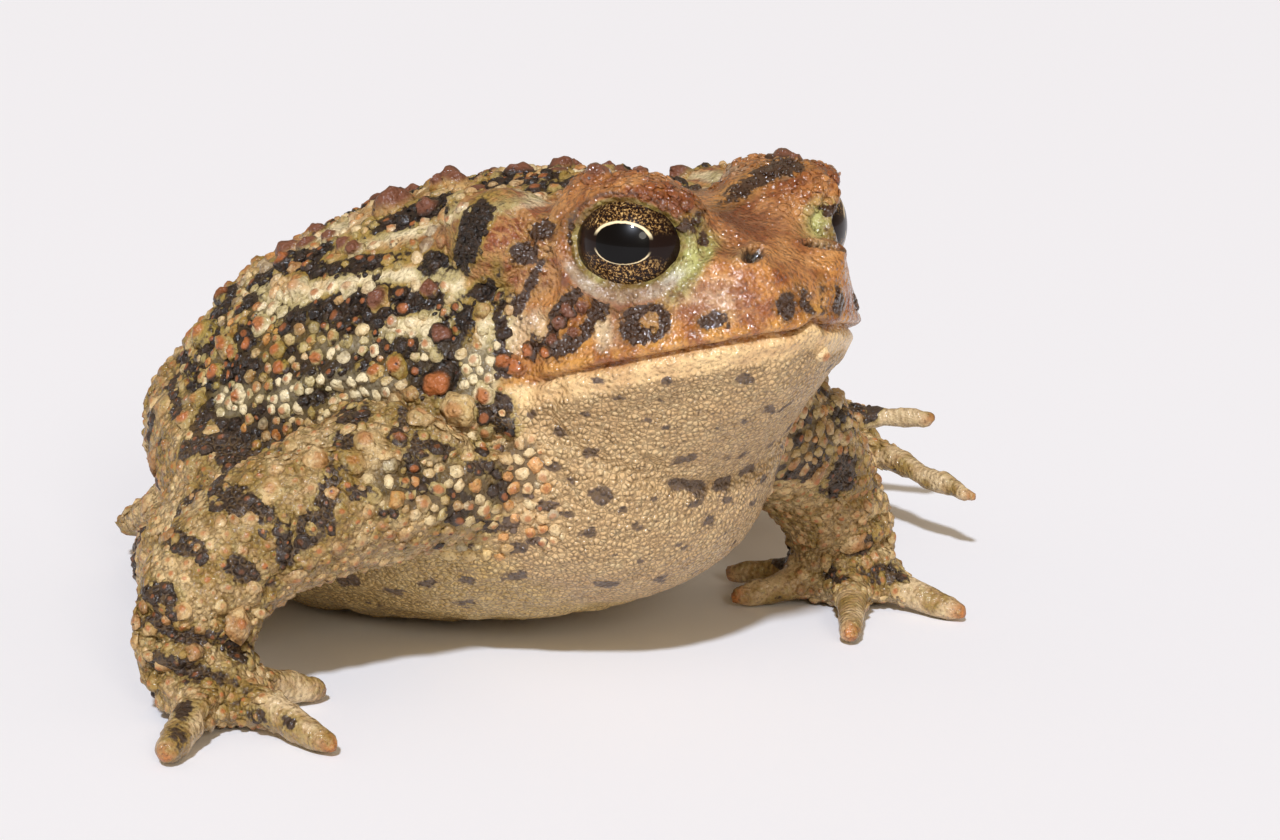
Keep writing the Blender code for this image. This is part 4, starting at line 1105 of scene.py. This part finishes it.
for share in BEAD_SIZE_SHARES:
    for vertex, spot in zip(vertices, places):
        thick = hide["thick"][vertex]
        if thick < BARE_BELOW or chance.random() > thick:
            continue
        limb = hide["limb"][vertex] > 0.5 and hide["beaded"][vertex] < 0.5
        radius = hide["bead_size"][vertex] * share * chance.uniform(*BEAD_VARIES) * MM
        if limb and chance.random() < LARGE_CONE_SHARE:
            radius *= LARGE_CONE
        if has_room(spot, radius):
            set_bead(spot, radius, vertex, "cone" if limb else "bead", chance.random())
for vertex, spot in zip(vertices, places):
    if hide["brow"][vertex] > 0.5 and chance.random() < SMALL_SHARE:
        radius = BROW_BUMP * chance.uniform(*BROW_BUMP_VARIES) * MM
        if has_room(spot, radius):
            set_bead(spot, radius, vertex, "bump", 0.0)
for vertex, spot in zip(vertices, places):
    if chance.random() < hide["grain"][vertex] * SMALL_SHARE:
        radius = GRAIN_RADIUS * chance.uniform(*GRAIN_VARIES) * MM
        if has_room(spot, radius):
            set_bead(spot, radius, vertex, "grain", 0.0)


# Height over radius, the least and most, and how far the root is sunk, for each kind.
RISE = {
    "wart": (0.7, 1.0),
    "bead": (0.55, 0.8),
    "cone": (0.35, 0.58),
    "bump": (0.28, 0.48),
    "grain": (0.5, 0.8),
}
SINK = {"wart": 0.12, "bead": 0.12, "cone": 0.1, "bump": 0.04, "grain": 0.1}
BEAD_PALER = (0.0, 0.0, 0.0, 0.1, 0.3, 1.5)
UNEVEN_DOMES = 9
UNEVENNESS = 0.42
STRETCH = (0.86, 1.14)
CONE_NARROWING = 0.45
WART_NARROWING = 0.15
ORANGE_BEADS = 0.13
GREY_BEADS = 0.19
# The map gives each bead a tiny patch at its root's place on an unwrap of the hide.
BAKE_PATCH = 0.0015
CHART_WIDTH = 130 * MM
CHART_FILL = 0.8
CHARTS_ACROSS = 6
CHART_ROWS = 5
LIMB_ROWS = {"left_arm": 1, "right_arm": 2, "left_leg": 3, "right_leg": 4}


def tangents(normal):
    side = Vector(normal).orthogonal().normalized()
    return np.array(side), np.array(Vector(normal).cross(side))


def bake_place(vertex):
    """Where a spot of the hide lies on its unwrap: six charts by facing for the trunk and for each limb."""
    x, y, z = body_coordinates(hide_points[vertex])
    normal = hide_normals[vertex]
    facing = int(np.argmax(np.abs(normal)))
    chart = facing * 2 + (1 if normal[facing] > 0 else 0)
    row = 0
    if hide["limb"][vertex] > 0.5:
        # Limbs this far back are legs, apart from a strip of the right arm.
        leg = y > 4 and not (x < -28 and y < 6)
        row = LIMB_ROWS[("left" if x > 0 else "right") + ("_leg" if leg else "_arm")]
    flat = [(y, z), (x, z), (x, y)][facing]
    across = (chart + 0.5) / CHARTS_ACROSS + flat[0] * MM / CHART_WIDTH / CHARTS_ACROSS * CHART_FILL
    upward = (row + 0.5) / CHART_ROWS + flat[1] * MM / CHART_WIDTH / CHART_ROWS * CHART_FILL
    return across, upward


def bead_mesh(name, group, pattern):
    """Joins a group of beads into one mesh, each a turned and stretched copy of one of the uneven domes."""
    unit, faces = pattern
    domes = []
    for n in range(UNEVEN_DOMES):
        swell = [1 + UNEVENNESS * noise.noise(Vector(p) * 1.6 + Vector((7.0 * n, 3.0, 1.0))) for p in unit]
        domes.append(unit * np.array(swell)[:, None])
    count = len(unit)
    all_points = np.empty((len(group) * count, 3))
    all_faces = np.empty((len(group) * len(faces), 3), int)
    bake = np.empty((len(group) * count, 2))
    roots = np.empty(len(group), int)
    rust = np.empty(len(group))
    ground = np.empty((len(group), 3))
    paler = np.empty(len(group))
    tips = np.clip(unit[:, 2], 0, 1)
    for i, (point, radius, vertex, kind, rusty) in enumerate(group):
        normal = hide_normals[vertex]
        side, across = tangents(normal)
        turn = chance.uniform(0, 2 * math.pi)
        first = side * math.cos(turn) + across * math.sin(turn)
        second = np.cross(normal, first)
        stretch = chance.uniform(*STRETCH)
        tall = chance.uniform(*RISE[kind])
        narrow = 1 - CONE_NARROWING * tips * (kind == "cone") - WART_NARROWING * tips * (kind == "wart")
        local = domes[chance.randrange(UNEVEN_DOMES)] * radius
        made = np.outer(local[:, 0] * stretch * narrow, first)
        made += np.outer(local[:, 1] / stretch * narrow, second)
        made += np.outer(local[:, 2] * tall - SINK[kind] * radius, normal) + np.array(point)
        rows = slice(i * count, (i + 1) * count)
        all_points[rows] = made
        all_faces[i * len(faces) : (i + 1) * len(faces)] = faces + i * count
        bake[rows] = np.array(bake_place(vertex)) + unit[:, :2] * BAKE_PATCH
        roots[i] = vertex
        colour = hide["ground"][vertex]
        draw = chance.random()
        paler[i] = chance.choice(BEAD_PALER) if kind in ("bead", "cone") else 0.0
        if kind == "bead":
            code = BEAD_ORANGE if draw < ORANGE_BEADS else BEAD_GREY if draw < GREY_BEADS else BEAD_CREAM
            share = 0.6 if draw < GREY_BEADS else 0.7 * (draw - GREY_BEADS)
            colour = colour + (linear(code) - colour) * share
            rust[i] = 0.85 * rusty if rusty > 0.6 else 0.0
        elif kind == "wart":
            rust[i] = rusty * (0.98 + 0.02 * draw)
        elif kind == "cone":
            colour = colour * (0.85 + 0.4 * draw)
            rust[i] = (0.3 + 0.58 * rusty) * (0.6 if hide["dark"][vertex] - paler[i] > 0 else 1.0)
        else:
            colour = colour * (0.85 + 0.3 * draw)
            rust[i] = 0.0
        ground[i] = colour
    all_points[:, 2] = np.maximum(all_points[:, 2], 0)
    mesh = bpy.data.meshes.new(name)
    mesh.from_pydata(all_points.tolist(), [], all_faces.tolist())
    mesh.shade_smooth()
    fields = {key: np.repeat(hide[key][roots], count) for key in ATTRIBUTES}
    fields["ground"] = np.repeat(ground, count, axis=0)
    fields["dark"] = fields["dark"] - np.repeat(paler, count)
    fields["tip"] = np.tile(tips, len(group))
    fields["rust"] = np.repeat(rust, count)
    fields["seam"] = np.zeros(len(all_points))
    fields["mosaic"] = np.zeros(len(all_points))
    paint(mesh, fields)
    bake_map = mesh.uv_layers.new(name="OFBake")
    bake_map.data.foreach_set("uv", bake[all_faces.ravel()].astype(np.float32).ravel())
    obj = bpy.data.objects.new(name, mesh)
    bpy.context.scene.collection.objects.link(obj)
    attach(obj, "root")
    return obj


bead_pieces = [bead_mesh("warts", [b for b in beads if b[3] == "wart"], dome_pattern(18, 14))]
small = [b for b in beads if b[3] != "wart"]
for n in range(0, len(small), BEAD_PIECE):
    name = f"beads_{n // BEAD_PIECE + 1}"
    bead_pieces.append(bead_mesh(name, small[n : n + BEAD_PIECE], dome_pattern(9, 6)))

# Hide material
# Moist, keratinous toad skin: matt pigment under a thin wet film that gives small glints.
# Its flat grains are about half a millimetre across, and the film is thickest on the head.


def node(tree, kind, inputs, output=0, **settings):
    """Adds a shader node with its settings and its sockets' values or links, and returns an output."""
    made = tree.nodes.new("ShaderNode" + kind)
    for name, value in settings.items():
        setattr(made, name, value)
    for name, value in inputs.items():
        if isinstance(value, bpy.types.NodeSocket):
            tree.links.new(value, made.inputs[name])
        else:
            made.inputs[name].default_value = value
    return made.outputs[output]


def colour_of(code):
    return (*linear(code), 1.0)


BLOTCH_WANDER = 1.7
BLOTCH_FRAY = 0.8
BROAD_GRAIN = 3.2 * MM
FINE_GRAIN = 0.7 * MM
GRIT = 0.28 * MM
MOSAIC_CELL = 0.52 * MM
STREAK = (0.55 * MM, 3.5 * MM, 0.8 * MM)
STREAK_TURN = (0.17, 0.0, -0.14)
RING_SPACING = 0.6
PORE_SPACING = 1.1 * MM
BUMP_DEPTH = 0.36 * MM
HOLLOW_TAN = "#b48a5c"
CREST_CREAM = "#f0dcab"
GLAND_TAN = "#b27e4a"
GLAND_STREAK = "#8a4c2a"
HEAD_OCHRE = "#bd8356"
PALE_CREAM = "#e9d7ab"
OLIVE_EDGING = "#8f7c30"
BLACK_SOOT = "#150e0a"
BROWN_SOOT = "#3b2a1b"
HEAD_SOOT = "#5a3820"
BELLY_SOOT = "#6c5848"
PIT_BROWN = "#4a301c"
CAP_ORANGE = "#ab6230"
CAP_BROWN = "#744630"
PORE_BROWN = "#3d1f14"
GAP_SHADE_BROWN = "#644b26"
BEAD_SHADE_BROWN = "#3c2d18"
RING_CREASE_SHADE = "#77552f"

hide_material = bpy.data.materials.new("moist_toad_hide")
hide_material.use_nodes = True
tree = hide_material.node_tree
shader = tree.nodes["Principled BSDF"]
where = node(tree, "TexCoord", {}, "Object")
field = {name: node(tree, "Attribute", {}, "Fac", attribute_name=name) for name in ATTRIBUTES}
ground = node(tree, "Attribute", {}, "Color", attribute_name="ground")

broad = node(tree, "TexNoise", {"Vector": where, "Scale": 1 / BROAD_GRAIN, "Detail": 3.0, "Roughness": 0.6})
fine = node(tree, "TexNoise", {"Vector": where, "Scale": 1 / FINE_GRAIN, "Detail": 3.0, "Roughness": 0.6})
grit = node(tree, "TexNoise", {"Vector": where, "Scale": 1 / GRIT, "Detail": 2.0, "Roughness": 0.6})
centred = node(tree, "Math", {0: broad, 1: 0.5}, operation="SUBTRACT")
wander = node(tree, "Math", {0: centred, 1: BLOTCH_WANDER}, operation="MULTIPLY")
centred = node(tree, "Math", {0: fine, 1: 0.5}, operation="SUBTRACT")
wander = node(tree, "Math", {0: centred, 1: BLOTCH_FRAY, 2: wander}, operation="MULTIPLY_ADD")
dark_depth = node(tree, "Math", {0: field["dark"], 1: wander}, operation="ADD")
pale_depth = node(tree, "Math", {0: field["pale"], 1: wander}, operation="ADD")
inside_dark = node(tree, "MapRange", {0: dark_depth, 1: -0.06, 2: 0.12}, interpolation_type="SMOOTHSTEP")
beside_dark = node(tree, "MapRange", {0: dark_depth, 1: -0.5, 2: -0.05}, interpolation_type="SMOOTHSTEP")
inside_pale = node(tree, "MapRange", {0: pale_depth, 1: -0.25, 2: 0.45}, interpolation_type="SMOOTHSTEP")

# The ground is mottled, deeper in the hollows between grains.
mottle = node(tree, "MapRange", {0: broad, 1: 0.36, 2: 0.64}, interpolation_type="SMOOTHSTEP")
hollow = {0: 1.0, 6: ground, 7: colour_of(HOLLOW_TAN)}
deep = node(tree, "Mix", hollow, 2, data_type="RGBA", blend_type="MULTIPLY")
least = node(tree, "Math", {0: field["plain"], 1: -0.6, 2: 0.8}, operation="MULTIPLY_ADD")
mottle = node(tree, "Math", {0: mottle, 1: least}, operation="MULTIPLY")
colour = node(tree, "Mix", {0: mottle, 6: ground, 7: deep}, 2, data_type="RGBA")
light = node(tree, "MapRange", {0: fine, 1: 0.5, 2: 0.75})
lightest = node(tree, "Math", {0: field["wet"], 1: -0.27, 2: 0.45}, operation="MULTIPLY_ADD")
light = node(tree, "Math", {0: light, 1: lightest}, operation="MULTIPLY")
colour = node(tree, "Mix", {0: light, 6: colour, 7: colour_of(CREST_CREAM)}, 2, data_type="RGBA")

# Glands are streaked lengthwise.
lie = {"Vector": where, "Rotation": STREAK_TURN, "Scale": [1 / s for s in STREAK]}
stretch = node(tree, "Mapping", lie)
streak = node(tree, "TexNoise", {"Vector": stretch, "Scale": 1.0, "Detail": 3.0, "Roughness": 0.65})
streaked = node(tree, "MapRange", {0: streak, 1: 0.42, 2: 0.6}, interpolation_type="SMOOTHSTEP")
gland_pair = {0: streaked, 6: colour_of(GLAND_TAN), 7: colour_of(GLAND_STREAK)}
gland = node(tree, "Mix", gland_pair, 2, data_type="RGBA")
colour = node(tree, "Mix", {0: field["gland"], 6: colour, 7: gland}, 2, data_type="RGBA")

# The head's wet skin is mottled with ochre and dark rust.
blush = node(tree, "Math", {0: fine, 1: broad}, operation="ADD")
blush = node(tree, "MapRange", {0: blush, 1: 0.9, 2: 1.2}, interpolation_type="SMOOTHSTEP")
blush = node(tree, "Math", {0: blush, 1: field["wet"]}, operation="MULTIPLY")
blush = node(tree, "Math", {0: blush, 1: 0.65}, operation="MULTIPLY")
stained = {0: 1.0, 6: colour, 7: colour_of(HEAD_OCHRE)}
ruddy = node(tree, "Mix", stained, 2, data_type="RGBA", blend_type="MULTIPLY")
colour = node(tree, "Mix", {0: blush, 6: colour, 7: ruddy}, 2, data_type="RGBA")

# Pale patches and the olive edging of the blotches are fainter on the head.
most = node(tree, "Math", {0: field["wet"], 1: -0.5, 2: 0.92}, operation="MULTIPLY_ADD")
inside_pale = node(tree, "Math", {0: inside_pale, 1: most}, operation="MULTIPLY")
colour = node(tree, "Mix", {0: inside_pale, 6: colour, 7: colour_of(PALE_CREAM)}, 2, data_type="RGBA")
edging = node(tree, "Math", {0: field["wet"], 1: -0.45, 2: 0.66}, operation="MULTIPLY_ADD")
edging = node(tree, "Math", {0: beside_dark, 1: edging}, operation="MULTIPLY")
unfaded = node(tree, "Math", {0: 1.0, 1: field["faded"]}, operation="SUBTRACT")
edging = node(tree, "Math", {0: edging, 1: unfaded}, operation="MULTIPLY")
colour = node(tree, "Mix", {0: edging, 6: colour, 7: colour_of(OLIVE_EDGING)}, 2, data_type="RGBA")

# Blotches are near black on the back, browner on the head and grey-brown below.
soot = node(tree, "MapRange", {0: fine, 1: 0.35, 2: 0.75}, interpolation_type="SMOOTHSTEP")
soot = node(tree, "Mix", {0: soot, 6: colour_of(BLACK_SOOT), 7: colour_of(BROWN_SOOT)}, 2, data_type="RGBA")
browner = node(tree, "Math", {0: field["wet"], 1: 0.4}, operation="MULTIPLY")
soot = node(tree, "Mix", {0: browner, 6: soot, 7: colour_of(HEAD_SOOT)}, 2, data_type="RGBA")
soot = node(tree, "Mix", {0: field["faded"], 6: soot, 7: colour_of(BELLY_SOOT)}, 2, data_type="RGBA")
colour = node(tree, "Mix", {0: inside_dark, 6: colour, 7: soot}, 2, data_type="RGBA")

# Tiny dark pits all over.
pit = node(tree, "MapRange", {0: grit, 1: 0.52, 2: 0.7, 4: 0.5})
colour = node(tree, "Mix", {0: pit, 6: colour, 7: colour_of(PIT_BROWN)}, 2, data_type="RGBA")

# Warts and cones end in caps from rusty orange to brown, with dark pores.
ripe = node(tree, "MapRange", {0: field["rust"], 1: 0.9, 2: 0.98})
cap_start = node(tree, "Math", {0: ripe, 1: -0.5, 2: 0.72}, operation="MULTIPLY_ADD")
cap_full = node(tree, "Math", {0: ripe, 1: -0.2, 2: 0.95}, operation="MULTIPLY_ADD")
cap = node(tree, "MapRange", {0: field["tip"], 1: cap_start, 2: cap_full}, interpolation_type="SMOOTHSTEP")
cap = node(tree, "Math", {0: cap, 1: field["rust"]}, operation="MULTIPLY")
browned = node(tree, "MapRange", {0: field["rust"], 1: 0.94, 2: 0.98})
cap_pair = {0: browned, 6: colour_of(CAP_ORANGE), 7: colour_of(CAP_BROWN)}
cap_colour = node(tree, "Mix", cap_pair, 2, data_type="RGBA")
colour = node(tree, "Mix", {0: cap, 6: colour, 7: cap_colour}, 2, data_type="RGBA")
pore = node(tree, "TexVoronoi", {"Vector": where, "Scale": 1 / PORE_SPACING}, "Distance")
pore = node(tree, "MapRange", {0: pore, 1: 0.17, 2: 0.08}, interpolation_type="SMOOTHSTEP")
pore = node(tree, "Math", {0: pore, 1: field["rust"]}, operation="MULTIPLY")
colour = node(tree, "Mix", {0: pore, 6: colour, 7: colour_of(PORE_BROWN)}, 2, data_type="RGBA")

# Belly, throat and limbs are a mosaic of small flat grains with painted shade in the gaps between them, and
# painted shade darkens the hide between close-set beads.
cell = {"Vector": where, "Scale": 1 / MOSAIC_CELL}
from_middle = node(tree, "TexVoronoi", cell, "Distance")
grain_face = node(tree, "MapRange", {0: from_middle, 1: 0.66, 2: 0.12}, interpolation_type="SMOOTHSTEP")
from_edge = node(tree, "TexVoronoi", cell, "Distance", feature="DISTANCE_TO_EDGE")
# Painted shade in the gaps between the grains.
gap_shade = node(tree, "MapRange", {0: from_edge, 1: 0.17, 2: 0.03}, interpolation_type="SMOOTHSTEP")
gap_shade = node(tree, "Math", {0: gap_shade, 1: field["mosaic"]}, operation="MULTIPLY")
gap_shade = node(tree, "Math", {0: gap_shade, 1: 0.62}, operation="MULTIPLY")
colour = node(tree, "Mix", {0: gap_shade, 6: colour, 7: colour_of(GAP_SHADE_BROWN)}, 2, data_type="RGBA")
# Painted shade between the close-set beads.
seam = node(tree, "Math", {0: field["seam"], 1: 0.78}, operation="MULTIPLY")
colour = node(tree, "Mix", {0: seam, 6: colour, 7: colour_of(BEAD_SHADE_BROWN)}, 2, data_type="RGBA")

# Fingers and toes are ringed with fine creases across, with painted shade in each crease.
turns = node(tree, "Math", {0: field["along"], 1: 2 * math.pi / RING_SPACING}, operation="MULTIPLY")
turns = node(tree, "Math", {0: wander, 1: 2.2, 2: turns}, operation="MULTIPLY_ADD")
ring = node(tree, "Math", {0: turns}, operation="SINE")
ring = node(tree, "Math", {0: ring, 1: field["digit"]}, operation="MULTIPLY")
crease_shade = node(tree, "MapRange", {0: ring, 1: -0.2, 2: -1.0, 4: 0.08})
colour = node(tree, "Mix", {0: crease_shade, 6: colour, 7: colour_of(RING_CREASE_SHADE)}, 2, data_type="RGBA")
tree.links.new(colour, shader.inputs["Base Color"])

# The relief: grains of the mosaic, unevenness, grit, the rings of the digits and the glands' streaks.
grainy = node(tree, "Math", {0: field["wet"], 1: 0.15, 2: 0.3}, operation="MULTIPLY_ADD")
grainy = node(tree, "Math", {0: field["mosaic"], 1: 0.5, 2: grainy}, operation="MULTIPLY_ADD")
height = node(tree, "Math", {0: grain_face, 1: grainy}, operation="MULTIPLY")
rugged = node(tree, "Math", {0: field["wet"], 1: -0.2, 2: 0.6}, operation="MULTIPLY_ADD")
height = node(tree, "Math", {0: fine, 1: rugged, 2: height}, operation="MULTIPLY_ADD")
gritty = node(tree, "Math", {0: field["wet"], 1: -0.05, 2: 0.35}, operation="MULTIPLY_ADD")
height = node(tree, "Math", {0: grit, 1: gritty, 2: height}, operation="MULTIPLY_ADD")
height = node(tree, "Math", {0: ring, 1: 0.07, 2: height}, operation="MULTIPLY_ADD")
ridges = node(tree, "Math", {0: streak, 1: field["gland"]}, operation="MULTIPLY")
height = node(tree, "Math", {0: ridges, 1: 1.4, 2: height}, operation="MULTIPLY_ADD")
normal = node(tree, "Bump", {"Strength": 0.9, "Distance": BUMP_DEPTH, "Height": height})
tree.links.new(normal, shader.inputs["Normal"])
tree.links.new(normal, shader.inputs["Coat Normal"])
dry = node(tree, "MapRange", {0: fine, 1: 0.3, 2: 0.7, 3: 0.42, 4: 0.62})
wetted = node(tree, "Math", {0: field["wet"], 1: -0.2, 2: dry}, operation="MULTIPLY_ADD")
tree.links.new(wetted, shader.inputs["Roughness"])
shader.inputs["IOR"].default_value = 1.4
shader.inputs["Specular IOR Level"].default_value = 0.45
film = node(tree, "Math", {0: field["wet"], 1: 0.6, 2: 0.4}, operation="MULTIPLY_ADD")
tree.links.new(film, shader.inputs["Coat Weight"])
shader.inputs["Coat Roughness"].default_value = 0.12
shader.inputs["Coat IOR"].default_value = 1.5
for piece in [skin] + bead_pieces:
    piece.data.materials.clear()
    piece.data.materials.append(hide_material)

# Eyes
# Each eyeball is one ball, set behind the lids. Its wet cornea gives a deep gloss over a level oval pupil in
# a thin pale ring of gold, wider over its top where it is partly a painted reflection, and an iris flecked
# with gold above and below on dark brown.
EYE_SEGMENTS = 72
EYE_INSET = 0.02
PUPIL_HALF_WIDTH = 2.25
PUPIL_HALF_HEIGHT = 1.62
GOLD_RING = 0.09
FLECK = 0.19 * MM
IRIS_EDGE = 3.75
RAGGED = 0.5 * MM
IRIS_BRONZE = "#7c5426"
IRIS_GOLD = "#d6b274"
IRIS_BROWN = "#1a0c08"
RING_GOLD_AND_REFLECTION = "#f2dcae"
PUPIL_BLACK = "#050303"

cornea = bpy.data.materials.new("wet_cornea_over_gold_flecked_iris")
cornea.use_nodes = True
tree = cornea.node_tree
shader = tree.nodes["Principled BSDF"]
where = node(tree, "TexCoord", {}, "Object")
iris = node(tree, "Attribute", {}, "Vector", attribute_name="iris")
level = node(tree, "SeparateXYZ", {0: iris}, 0)
above = node(tree, "SeparateXYZ", {0: iris}, 1)
across = node(tree, "Math", {0: level, 1: 1 / PUPIL_HALF_WIDTH}, operation="MULTIPLY")
across = node(tree, "Math", {0: across, 1: 2.0}, operation="POWER")
upward = node(tree, "Math", {0: above, 1: 1 / PUPIL_HALF_HEIGHT}, operation="MULTIPLY")
height = node(tree, "Math", {0: upward}, operation="ABSOLUTE")
oval_sum = node(tree, "Math", {0: height, 1: 2.4}, operation="POWER")
oval_sum = node(tree, "Math", {0: oval_sum, 1: across}, operation="ADD")
ragged = node(tree, "TexNoise", {"Vector": where, "Scale": 1 / RAGGED, "Detail": 2.0})
outward = node(tree, "Math", {0: ragged, 1: 0.12, 2: oval_sum}, operation="MULTIPLY_ADD")
fleck_noise = node(tree, "TexNoise", {"Vector": where, "Scale": 1 / FLECK, "Detail": 3.0, "Roughness": 0.65})
fleck = node(tree, "MapRange", {0: fleck_noise, 1: 0.5, 2: 0.56}, interpolation_type="SMOOTHSTEP")
poles = node(tree, "MapRange", {0: height, 1: 0.45, 2: 0.95}, interpolation_type="SMOOTHSTEP")
round_reach = node(tree, "VectorMath", {0: iris, 1: (1.0, 1.0, 0.0)}, 0, operation="MULTIPLY")
round_reach = node(tree, "VectorMath", {0: round_reach}, "Value", operation="LENGTH")
within = node(tree, "MapRange", {0: round_reach, 1: IRIS_EDGE + 0.2, 2: IRIS_EDGE - 0.9})
fleck = node(tree, "Math", {0: fleck, 1: poles}, operation="MULTIPLY")
fleck = node(tree, "Math", {0: fleck, 1: within}, operation="MULTIPLY")
bright = node(tree, "MapRange", {0: fleck_noise, 1: 0.55, 2: 0.68})
gold = node(tree, "Mix", {0: bright, 6: colour_of(IRIS_BRONZE), 7: colour_of(IRIS_GOLD)}, 2, data_type="RGBA")
colour = node(tree, "Mix", {0: fleck, 6: colour_of(IRIS_BROWN), 7: gold}, 2, data_type="RGBA")
# The pale ring: the iris's own gold round the pupil, widened over the top by a painted reflection.
ring_in = node(tree, "MapRange", {0: outward, 1: 1.0, 2: 1.08}, interpolation_type="SMOOTHSTEP")
uneven = node(tree, "Math", {0: above, 1: -0.07, 2: outward}, operation="MULTIPLY_ADD")
ring_out = node(tree, "MapRange", {0: uneven, 1: 1.08 + 2 * GOLD_RING, 2: 1.08 + GOLD_RING})
ring = node(tree, "Math", {0: ring_in, 1: ring_out}, operation="MULTIPLY")
broken = node(tree, "MapRange", {0: height, 1: 0.25, 2: 0.6}, interpolation_type="SMOOTHSTEP")
ring = node(tree, "Math", {0: ring, 1: broken}, operation="MULTIPLY")
colour = node(tree, "Mix", {0: ring, 6: colour, 7: colour_of(RING_GOLD_AND_REFLECTION)}, 2, data_type="RGBA")
pupil = node(tree, "MapRange", {0: outward, 1: 1.03, 2: 0.98})
colour = node(tree, "Mix", {0: pupil, 6: colour, 7: colour_of(PUPIL_BLACK)}, 2, data_type="RGBA")
tree.links.new(colour, shader.inputs["Base Color"])
shader.inputs["Roughness"].default_value = 0.3
shader.inputs["Coat Weight"].default_value = 0.6
shader.inputs["Coat Roughness"].default_value = 0.02
shader.inputs["Coat IOR"].default_value = 1.3
shader.inputs["Specular IOR Level"].default_value = 0.1

for side, tag in ((1, "left"), (-1, "right")):
    bm = bmesh.new()
    radius = (EYE_RADIUS - EYE_INSET) * MM
    bmesh.ops.create_uvsphere(bm, u_segments=EYE_SEGMENTS, v_segments=EYE_SEGMENTS // 2, radius=radius)
    local = [v.co / MM for v in bm.verts]
    matrix = Matrix.Translation(place(sided(EYE_IN_BODY, side))) @ rim_turn(side).to_4x4()
    bmesh.ops.transform(bm, matrix=matrix, verts=bm.verts)
    eye = new_object(f"eyeball_{tag}", bm)
    attribute = eye.data.attributes.new("iris", "FLOAT_VECTOR", "POINT")
    attribute.data.foreach_set("vector", [c for v in local for c in v])
    eye.data.shade_smooth()
    eye.data.materials.append(cornea)
    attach(eye, "root")
    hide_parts(f"eye_{tag}")

# Floor and light
# A sheet of white card under studio daylight: a key lamp high before the toad's right side, a
# lower, broader and weaker one from the front, and warm pale walls all round.
CARD_HALF_WIDTH = 3.0
CARD_WHITE = "#f9f9f9"
CARD_ROUGHNESS = 0.8
WALL_COLOUR = (1.0, 0.8, 0.6, 1.0)
WALL_STRENGTH = 0.34
LAMPS = [
    # name, direction towards the lamp, spread in degrees, strength, colour
    ("key", (-0.94, -0.76, 1.0), 4.0, 3.0, (0.93, 1.0, 1.16)),
    ("front", (-0.5, -0.95, 0.45), 14.0, 0.5, (1.05, 1.0, 0.88)),
]

bm = bmesh.new()
bmesh.ops.create_grid(bm, x_segments=1, y_segments=1, size=CARD_HALF_WIDTH)
floor = new_object("floor", bm)
card = bpy.data.materials.new("white_card")
card.use_nodes = True
card.node_tree.nodes["Principled BSDF"].inputs["Base Color"].default_value = colour_of(CARD_WHITE)
card.node_tree.nodes["Principled BSDF"].inputs["Roughness"].default_value = CARD_ROUGHNESS
floor.data.materials.append(card)

world = bpy.data.worlds.new("studio")
bpy.context.scene.world = world
world.use_nodes = True
world.node_tree.nodes["Background"].inputs["Color"].default_value = WALL_COLOUR
world.node_tree.nodes["Background"].inputs["Strength"].default_value = WALL_STRENGTH

for name, toward_lamp, spread_degrees, strength, colour in LAMPS:
    data = bpy.data.lights.new(name, "SUN")
    data.color = colour
    data.angle = math.radians(spread_degrees)
    data.energy = strength
    lamp = bpy.data.objects.new(name, data)
    lamp.matrix_world = Vector(toward_lamp).to_track_quat("Z", "Y").to_matrix().to_4x4()
    bpy.context.scene.collection.objects.link(lamp)
